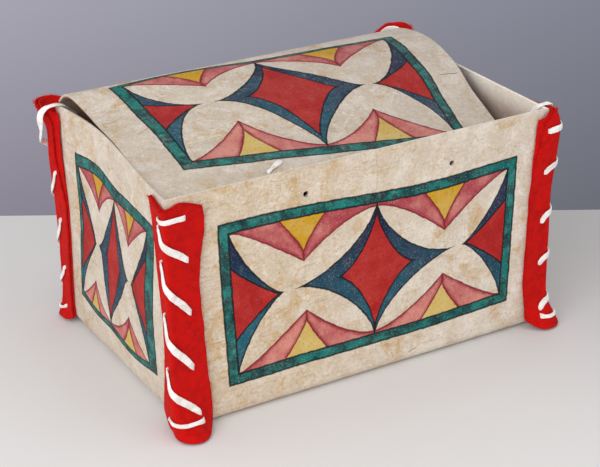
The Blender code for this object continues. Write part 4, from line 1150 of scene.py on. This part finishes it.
def nap_mesh(name, grid, corner, seed):
    """Loose fibres that stand off the strip's face and its edges."""
    cloth = bpy.context.scene.case_cloth
    dice = random.Random(seed)
    top = len(grid) - 1
    verts = []
    faces = []

    def strand(base, way, length, thick):
        side = way.cross(Vector([dice.uniform(-1, 1) for _ in range(3)])).normalized()
        other = way.cross(side)
        bend = (side * dice.uniform(-0.7, 0.7) + other * dice.uniform(-0.7, 0.7)) * length
        first = len(verts)
        for share, width in ((0.0, 1.0), (0.55, 0.75)):
            spot = base + way * length * share + bend * share * share
            for k in range(3):
                angle = 2 * math.pi * k / 3
                verts.append(spot + (side * math.cos(angle) + other * math.sin(angle)) * thick * width)
        verts.append(base + way * length + bend)
        for k in range(3):
            n = (k + 1) % 3
            faces.append((first + k, first + n, first + 3 + n, first + 3 + k))
            faces.append((first + 3 + k, first + 3 + n, first + 6))
        faces.append((first + 2, first + 1, first))

    for _ in range(cloth.nap_count):
        place = dice.random()
        if place < NAP_EDGES:
            j = dice.choice([0, CLOTH_OUTER_COLUMNS + 1])
            i = dice.randrange(1, top)
        else:
            j = dice.randrange(0, CLOTH_OUTER_COLUMNS)
            i = top if place < NAP_RIMS else dice.randrange(2, top)
        here, beside = grid[i][j:j + 2]
        above = grid[i + 1 if i < top else i - 1][j]
        base = here + (beside - here) * dice.random() + (above - here) * dice.random()
        normal = outward(corner, here, (beside - here).cross(above - here).normalized())
        away = (here - beside).normalized() if j in (0, CLOTH_OUTER_COLUMNS + 1) else normal * 0.4
        if i == top:
            away = (UP + normal * 0.3).normalized()
        way = (normal * 0.7 + away + Vector([dice.gauss(0, 0.35) for _ in range(3)])).normalized()
        length = cloth.nap_length * dice.uniform(0.45, 1.15) * (1.0 if place < NAP_RIMS else 0.62)
        strand(base + normal * CLOTH * 0.42, way, length, dice.uniform(0.00004, 0.00009))
    mesh = bpy.data.meshes.new(name)
    mesh.from_pydata([tuple(v) for v in verts], [], faces)
    return mesh


# Thongs

class Band:
    """A flat thong as key points: place, direction across its width, width and thickness."""

    def __init__(self):
        self.nodes = []

    def add(self, place, across, width, thick=None):
        across = across.normalized()
        if self.nodes and self.nodes[-1][1].dot(across) < 0:
            across = -across
        if thick is None:
            thick = bpy.context.scene.case_thong.thickness
        self.nodes.append((place, across, width, thick))

    def knot(self, face, way, across, first):
        rings = KNOT_RINGS if first else KNOT_RINGS[::-1]
        for reach, size in rings:
            self.add(face + way * KNOT * reach, across, KNOT * size, KNOT * size * 0.9)

    def rounded(self):
        """The key points with each sharp bend turned into an arc."""
        nodes = self.nodes
        out = [nodes[0]]
        for before, here, after in zip(nodes, nodes[1:], nodes[2:]):
            back = before[0] - here[0]
            ahead = after[0] - here[0]
            if back.angle(ahead) > THONG_STRAIGHT:
                out.append(here)
                continue
            reach = min(THONG_BEND, back.length * 0.45, ahead.length * 0.45)
            enter = [mix(a, b, reach / back.length) for a, b in zip(here, before)]
            leave = [mix(a, b, reach / ahead.length) for a, b in zip(here, after)]
            middle = enter[0] * 0.25 + here[0] * 0.5 + leave[0] * 0.25
            out += [tuple(enter), (middle, *here[1:]), tuple(leave)]
        out.append(nodes[-1])
        return out

    def smooth(self):
        """The rounded points, with a smooth curve run through them."""
        nodes = self.rounded()
        out = [nodes[0]]
        for a, b, c, d in zip([nodes[0], *nodes], nodes, nodes[1:], [*nodes[2:], nodes[-1]]):
            before, run, after = [(q[0] - p[0]).length for p, q in ((a, b), (b, c), (c, d))]
            into = (c[0] - a[0]) * run / max(run + before, 1e-6)
            away = (d[0] - b[0]) * run / max(after + run, 1e-6)
            steps = max(1, min(6, round(run / THONG_STEP)))
            for step in range(1, steps + 1):
                t = step / steps
                across = (b[1] * (1 - t) + c[1] * t).normalized()
                out.append((curve_point(b[0], c[0], into, away, t), across,
                            mix(b[2], c[2], ease(t)), mix(b[3], c[3], ease(t))))
        return out

    def mesh(self, name):
        rings = self.smooth()
        outline = []
        for k in range(THONG_SIDES):
            x, y = math.cos(2 * math.pi * k / THONG_SIDES), math.sin(2 * math.pi * k / THONG_SIDES)
            outline.append((math.copysign(abs(x) ** 0.62, x), math.copysign(abs(y) ** 0.72, y)))
        verts = []
        last_side = None
        for i, (place, across, width, thick) in enumerate(rings):
            travel = rings[min(i + 1, len(rings) - 1)][0] - rings[max(i - 1, 0)][0]
            travel.normalize()
            side = across - travel * across.dot(travel)
            if last_side is not None:
                if side.length < 0.25:
                    side = last_side - travel * last_side.dot(travel)
                if side.dot(last_side) < 0:
                    side = -side
            side.normalize()
            last_side = side
            face = travel.cross(side)
            ragged = 1 + 0.07 * noise.noise(place * 380)
            verts += [place + side * x * width / 2 * ragged + face * y * thick / 2 for x, y in outline]
        faces = [tuple(range(THONG_SIDES))[::-1], tuple(range(len(verts) - THONG_SIDES, len(verts)))]
        for first in range(0, len(verts) - THONG_SIDES, THONG_SIDES):
            for k in range(THONG_SIDES):
                low, next_low = first + k, first + (k + 1) % THONG_SIDES
                faces.append((low, next_low, next_low + THONG_SIDES, low + THONG_SIDES))
        return closed_mesh(name, verts, faces)


class Lacing(Band):
    """One corner's thong, laced down through the strip and both walls."""

    def __init__(self, corner):
        super().__init__()
        self.corner = corner
        self.width = bpy.context.scene.case_thong.width
        self.thick = bpy.context.scene.case_thong.thickness
        self.inner = -(HIDE + THONG_GAP + self.thick / 2)
        self.lay()

    def outside(self, kind, reach, height):
        """How far off the wall the thong's middle lies on the cloth, more where the cloth leans."""
        stand = CLOTH_FACE + THONG_GAP + self.thick / 2 - CLOTH_INNER
        belly = self.corner.belly(kind, reach, height)
        return CLOTH_INNER + belly + stand * self.corner.slant(kind, reach, height)

    def facing(self, kind, reach, height):
        lean = self.corner.lean(kind, reach, height)
        return (self.corner.normal(kind, reach) + UP * lean).normalized()

    def through(self, leg, height, outward_way, along=None, knot=None, inside_across=UP, outer=None):
        """Straight through the cloth and the wall at a hole, or from or into a knot on one face."""
        corner = self.corner
        along = corner.holes[leg] if along is None else along
        outer = self.outside(leg, along, height) if outer is None else outer
        normal = corner.normal(leg)
        side = 1 if outward_way else -1
        outside_across = UP - normal * corner.lean(leg, along, height)
        first, last = [(self.inner, inside_across, THONG_NECK),
                       (outer, outside_across, THONG_WIDE_NECK if leg == "long" else THONG_NECK)][::side]
        middle = ((self.inner + outer) / 2, first[1] + last[1], THONG_NECK)
        for stop, (off, across, width) in (("first", first), ("middle", middle), ("last", last)):
            if knot == stop:
                out = side if stop == "last" else -side
                face = corner.at(leg, along, off - out * self.thick / 2, height)
                self.knot(face, normal * out, UP, stop == "first")
            else:
                self.add(corner.at(leg, along, off, height), across, width)

    def on(self, kind, reach, height, lift=0.0):
        """Where the thong's middle lies on the cloth."""
        return self.corner.at(kind, reach, self.outside(kind, reach, height) + lift, height)

    def stitch(self, high, low, start=None, dip=0.0, backward=False, slack=0.0, narrow=1.0):
        """Outside, from the end wall around the corner to the long wall, or backward."""
        corner = self.corner
        start = corner.holes["end"] if start is None else start
        stop = corner.holes["long"]
        route = [(self.on("end", start, high, slack), None, None)]
        for kind, position, share, wide in STITCH_STEPS:
            dropped = 1 - (1 - share) * (1 - corner.haste * min(share / HASTE_SHARE, 1.0))
            height = mix(high, low, dropped) - dip * math.sin(math.pi * share)
            lift = slack * (1 - share)
            if kind == "turn":
                reach = position
                lift += CLOTH_BULGE * math.sin(math.radians(2 * position)) + THONG_TURN_GAP - THONG_GAP
            else:
                reach = start * (1 - position) if kind == "end" else stop * position
            route.append((self.on(kind, reach, height, lift), self.facing(kind, reach, height), wide))
        route.append((self.on("long", stop, low), None, None))
        if backward:
            route.reverse()
        for before, here, after in zip(route, route[1:], route[2:]):
            self.add(here[0], here[1].cross(after[0] - before[0]), self.width * here[2] * narrow)

    def over_wall(self):
        """Up inside the end wall, over its top and a little way down outside, in a bow where it is slack."""
        corner = self.corner
        crown = WALL_HEIGHT + THONG_TURN_GAP + self.thick / 2
        inner = -HIDE - THONG_TURN_GAP - self.thick / 2
        low = WALL_HEIGHT - TURN_BACK - corner.slack / 2
        outer = self.outside("end", OVER_TOP_INSET, low) + corner.slack
        stops = [(inner, crown, ALONG_END, THONG_INSIDE)]
        if corner.slack:
            for reach, rise, turned in BOW_STEPS:
                across = mix(-ALONG_END, BOW_FACING, turned)
                stops.append((mix(inner, outer, reach), crown + rise, across, self.width))
            stops.append((outer, low, BOW_FACING, self.width))
        else:
            stops += [(outer, crown, ALONG_END, self.width * 1.25), (outer, low, ALONG_END, self.width)]
        for off, height, across, width in stops:
            self.add(corner.at("end", OVER_TOP_INSET, off, height), across, width)
        return low

    def tuck(self, level):
        """A free end under the strip's top, from the long wall round the corner to the end's top hole."""
        rise = WALL_HEIGHT + TAIL_RISE
        stops = [("long", TAIL_REACH, WALL_HEIGHT + TAIL_END_RISE, self.width * 0.7),
                 ("long", TAIL_REACH / 2, rise, self.width)]
        stops += [("turn", turn, mix(rise, level, share), self.width) for turn, share in TAIL_TURNS]
        stops.append(("end", self.corner.holes["end"] / 2, mix(rise, level, TAIL_END_SHARE), THONG_NECK))
        for kind, reach, height, width in stops:
            self.add(self.corner.at(kind, reach, TAIL_OFF, height), UP, width)
        self.through("end", level, False, inside_across=ALONG_END, outer=TAIL_OFF)

    def lay(self):
        start = self.corner.start
        levels = list(self.corner.levels)
        if start in ("behind", "tucked"):
            top = levels.pop(0)
            if start == "behind":
                self.through("long", top, True, knot="first")
                self.stitch(top, top, backward=True, narrow=TOP_STITCH_WIDTH)
                self.through("end", top, False, inside_across=ALONG_END)
            else:
                self.tuck(top)
            self.through("end", top - TURN_BACK, True, inside_across=ALONG_END)
            self.stitch(top - TURN_BACK, levels[0])
        else:
            leg, along, depth = start
            self.through(leg, WALL_HEIGHT - depth, False, along, knot="first")
            self.stitch(self.over_wall(), levels[0], start=OVER_TOP_INSET, slack=self.corner.slack)
        foot = levels[-1]
        for level, below in zip(levels, levels[1:]):
            self.through("long", level, False)
            self.through("end", level, True)
            self.stitch(level, below + TURN_BACK if below == foot else below)
        self.through("long", foot + TURN_BACK, False)
        self.through("end", foot, True)
        self.stitch(foot, foot, dip=self.corner.foot_dip, narrow=FOOT_STITCH_WIDTH)
        self.through("long", foot, False, knot="last")


def tie_spot(spec, reach):
    """Lid middle and normal at a distance along the tie's line."""
    front = lid_middle(lid_place(spec["x"], 0.0)[0], 1.0).y
    x = spec["x"] + reach * math.cos(spec["heading"])
    y = front + spec["inset"] + reach * math.sin(spec["heading"])
    return lid_frame(*lid_place(x, y))


def tie_band(spec):
    """A thong knotted under the lid, up through its slit and flat along the lid."""
    band = Band()
    here, normal = tie_spot(spec, 0.0)
    across = normal.cross(tie_spot(spec, spec["length"])[0] - here)
    lift = HIDE / 2 + THONG_GAP + bpy.context.scene.case_thong.thickness / 2
    band.knot(here - normal * (HIDE / 2 + THONG_GAP), -normal, across, True)
    band.add(here, across, THONG_NECK)
    band.add(here + normal * lift, across, THONG_NECK)
    for share, wide in TIE_STEPS:
        place, up = tie_spot(spec, spec["length"] * share)
        band.add(place + up * lift, across, TIE_WIDTH * wide)
    return band


# Operators

# Each wall: its node, the first word of its piece's name, the design on it, how its places are worked out,
# its side of the box, its columns, its design's marks, the axis it runs along and a shift of its waves
WALLS = [("front_wall", "front", "front", long_wall_point, -1, 74, FRONT_MARKS, 0, 3.0),
         ("back_wall", "back", None, long_wall_point, 1, 74, None, 0, 9.0),
         ("left_end", "left", "end", end_wall_point, -1, 50, LEFT_MARKS, 1, 15.0),
         ("right_end", "right", "end", end_wall_point, 1, 50, LEFT_MARKS, 1, 21.0)]


class CASE_OT_walls(bpy.types.Operator):
    """Build the folded rawhide box: bottom, front, back and both ends, with their painting"""
    bl_idname = "case.walls"
    bl_label = "Rawhide walls"

    def execute(self, context):
        for node, word, panel, *shape in WALLS:
            name = word + "_hide"
            finish = hide_finish("painted_" + name if panel else name, panel, brown_and_shaded_inside=not panel)
            piece = smooth_object(wall_mesh(name, *shape), finish)
            if node == "front_wall":
                spots = [Vector((x, -HALF_DEPTH, WALL_HEIGHT - depth)) for x, depth in TIE_HOLES]
                cut_holes(piece, [(spot + ALONG_END * ROD_INWARD, spot - ALONG_END * ROD_OUTWARD,
                                   TIE_HOLE_RADIUS) for spot in spots])
            soften_rim(piece)
            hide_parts(node)
        bottom = smooth_object(bottom_mesh("bottom_hide"), hide_finish("plain_hide"))
        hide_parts("bottom_panel")
        return {"FINISHED"}


class CASE_OT_lid(bpy.types.Operator):
    """Build the painted lid and the fold that joins it to the back wall"""
    bl_idname = "case.lid"
    bl_label = "Lid"

    def execute(self, context):
        lid = smooth_object(lid_mesh("lid_hide"), hide_finish("painted_lid_hide", "lid"), "lid")
        slits = [tie_spot(spec, 0.0) for spec in TIES.values()]
        cut_holes(lid, [(here - normal * ROD_OUTWARD, here + normal * ROD_OUTWARD, TIE_SLIT_RADIUS)
                        for here, normal in slits])
        soften_rim(lid)
        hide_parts("lid")
        fold = smooth_object(fold_mesh("lid_fold"), hide_finish("fold_hide", brown_and_shaded_inside=True), None)
        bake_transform(fold)
        return {"FINISHED"}


class CASE_OT_corners(bpy.types.Operator):
    """Build the four folded wool strips and the thong laced through each"""
    bl_idname = "case.corners"
    bl_label = "Corner strips and lacing"

    def execute(self, context):
        red = cloth_finish("scarlet_wool")
        white = thong_finish("white_thong")
        for seed, (name, spec) in enumerate(CORNERS.items(), 5):
            corner = Corner(spec)
            lace = Lacing(corner)
            grid = cloth_grid(corner)
            strip = smooth_object(cloth_mesh("strip_" + name, grid, corner, lace), red, "box", 75)
            round_edges = strip.modifiers.new("soft edges", "SUBSURF")
            round_edges.levels = 1
            round_edges.render_levels = 1
            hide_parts("corner_cloth_" + name)
            nap = smooth_object(nap_mesh("nap_" + name, grid, corner, seed), red, "box")
            thong = smooth_object(lace.mesh("thong_" + name), white, "box", 60)
            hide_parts("corner_lacing_" + name)
            heights = [WALL_HEIGHT * k / 8 for k in range(9)]
            legs = sum(corner.edge(leg, height) for height in heights for leg in LEGS) / len(heights)
        return {"FINISHED"}


class CASE_OT_ties(bpy.types.Operator):
    """Build the two short tie thongs near the lid's front edge"""
    bl_idname = "case.ties"
    bl_label = "Lid ties"

    def execute(self, context):
        white = thong_finish("tie_thong")
        for name, spec in TIES.items():
            tie = smooth_object(tie_band(spec).mesh("tie_" + name), white, "lid", 60)
            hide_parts("lid_tie_" + name)
        return {"FINISHED"}


def flat_axes():
    """The view's right and its way ahead, both level."""
    sine, cosine = math.sin(CAMERA_HEADING), math.cos(CAMERA_HEADING)
    return Vector((cosine, sine, 0)), Vector((-sine, cosine, 0))


def camera_axes():
    """Right, up and back of the photographed view."""
    right, ahead = flat_axes()
    back = UP * math.sin(CAMERA_PITCH) - ahead * math.cos(CAMERA_PITCH)
    up = back.cross(right)
    cosine, sine = math.cos(CAMERA_ROLL), math.sin(CAMERA_ROLL)
    return right * cosine + up * sine, up * cosine - right * sine, back


def build_table(colour):
    """A pale table whose far edge shows, with painted shade that darkens it a little to the back and the
    right, where the lamps' light falls off.
    """
    aside, away = flat_axes()
    spots = [aside * x * TABLE_REACH + away * y for x, y in (
        (-1, -TABLE_REACH), (1, -TABLE_REACH), (1, TABLE_BACK), (-1, TABLE_BACK))]
    points = [spot + UP * z for z in (TABLE_UNDERSIDE, TABLE_TOP) for spot in spots]
    faces = [(0, 1, 2, 3), (4, 5, 6, 7)] + [(k, (k + 1) % 4, (k + 1) % 4 + 4, k + 4) for k in range(4)]
    table = add_object(closed_mesh("table", points, faces))
    finish = Finish("pale_table")
    x, y, _ = finish.split(finish.place)
    deep = x * away.x + y * away.y
    side = x * aside.x + y * aside.y
    # Painted shade: darker to the back and the right, where the lamps' light falls off
    painted_falloff = finish.ramp(deep, -0.28, 0.26) * 0.2 + finish.ramp(side + deep * 0.8, 0.0, 0.48) * 0.22
    shown = finish.mix(colour, srgb(120, 118, 120), painted_falloff)
    table.data.materials.append(finish.put(Base_Color=shown, Roughness=0.7, Specular_IOR_Level=0.2))


def build_lamp(name, place, size, power):
    data = bpy.data.lights.new(name, "AREA")
    data.shape = "SQUARE"
    data.size = size
    data.energy = power
    turn = (Vector(place) - LAMP_AIM).to_track_quat("Z", "Y").to_matrix().to_4x4()
    add_object(data, Matrix.Translation(Vector(place)) @ turn)


def build_backdrop(world, fill):
    """Light from all round, and behind it the grey wall that the camera sees, with painted shade that
    darkens it lower down and to the right.
    """
    world.use_nodes = True
    world.node_tree.nodes.clear()
    nodes = Nodes(world.node_tree)
    aside, _ = flat_axes()
    x, y, z = nodes.split(nodes.node("ShaderNodeTexCoord").outputs["Generated"])
    strength = (1.05 - z.most(0.0) * 0.5) * (1 - x * 0.22 - y * 0.2) * fill
    light = nodes.node("ShaderNodeBackground", {"Color": srgb(253, 254, 255), "Strength": strength})
    # Painted shade on the wall: darker lower down and to the right
    rise = ((z + 0.415) / 0.113).clipped()
    pan = ((x * aside.x + y * aside.y + 0.168) / 0.336).clipped()
    low = nodes.mix(srgb(138, 132, 147), srgb(105, 108, 117), pan)
    high = nodes.mix(srgb(166, 164, 177), srgb(130, 132, 145), pan)
    seen = nodes.node("ShaderNodeBackground", {"Color": nodes.mix(low, high, rise)})
    ray = nodes.node("ShaderNodeLightPath")
    camera, glossy, through = [Signal(nodes.tree, ray.outputs["Is " + kind + " Ray"])
                               for kind in ("Camera", "Glossy", "Transmission")]
    blend = nodes.node("ShaderNodeMixShader", {0: (camera + glossy + through).clipped(),
                                               1: light.outputs[0], 2: seen.outputs[0]})
    nodes.node("ShaderNodeOutputWorld", {"Surface": blend.outputs[0]})


class CASE_OT_stage(bpy.types.Operator):
    """Build the table, the lamps, the backdrop colour and the camera"""
    bl_idname = "case.stage"
    bl_label = "Table, lamps and camera"

    def execute(self, context):
        scene = context.scene
        stage = scene.case_stage
        scene.view_settings.view_transform = "Standard"
        data = bpy.data.cameras.new("camera")
        data.sensor_width = SENSOR
        data.lens = FOCAL_PIXELS / PICTURE_PIXELS * SENSOR
        data.clip_start = 0.05
        turn = Matrix(camera_axes()).transposed().to_4x4()
        scene.camera = add_object(data, Matrix.Translation(CAMERA_PLACE) @ turn)
        build_table(stage.table)
        build_lamp("key", (-1.9, -1.3, 1.2), 1.7, stage.key)
        build_lamp("top", (0.3, -0.3, 2.3), 1.8, stage.key * 0.3)
        scene.world = bpy.data.worlds.new("backdrop")
        build_backdrop(scene.world, stage.fill)
        return {"FINISHED"}


class CASE_PT_panel(bpy.types.Panel):
    """The case's pieces and settings"""
    bl_label = "Rawhide case"
    bl_idname = "CASE_PT_panel"
    bl_space_type = "VIEW_3D"
    bl_region_type = "UI"
    bl_category = "Rawhide case"

    def draw(self, context):
        layout = self.layout
        for step in STEPS:
            layout.operator(step.bl_idname)
        for key, kind in SETTINGS.items():
            box = layout.box()
            for prop in kind.__annotations__:
                box.prop(getattr(context.scene, key), prop)


STEPS = [CASE_OT_walls, CASE_OT_lid, CASE_OT_corners, CASE_OT_ties, CASE_OT_stage]
CLASSES = [*SETTINGS.values(), *STEPS, CASE_PT_panel]


def register():
    for kind in CLASSES:
        bpy.utils.register_class(kind)
    for key, kind in SETTINGS.items():
        setattr(bpy.types.Scene, key, PointerProperty(type=kind))


def unregister():
    for key in SETTINGS:
        delattr(bpy.types.Scene, key)
    for kind in reversed(CLASSES):
        bpy.utils.unregister_class(kind)


def main():
    register()
    bpy.ops.case.walls()
    bpy.ops.case.lid()
    bpy.ops.case.corners()
    bpy.ops.case.ties()
    bpy.ops.case.stage()


if __name__ == "__main__":
    main()
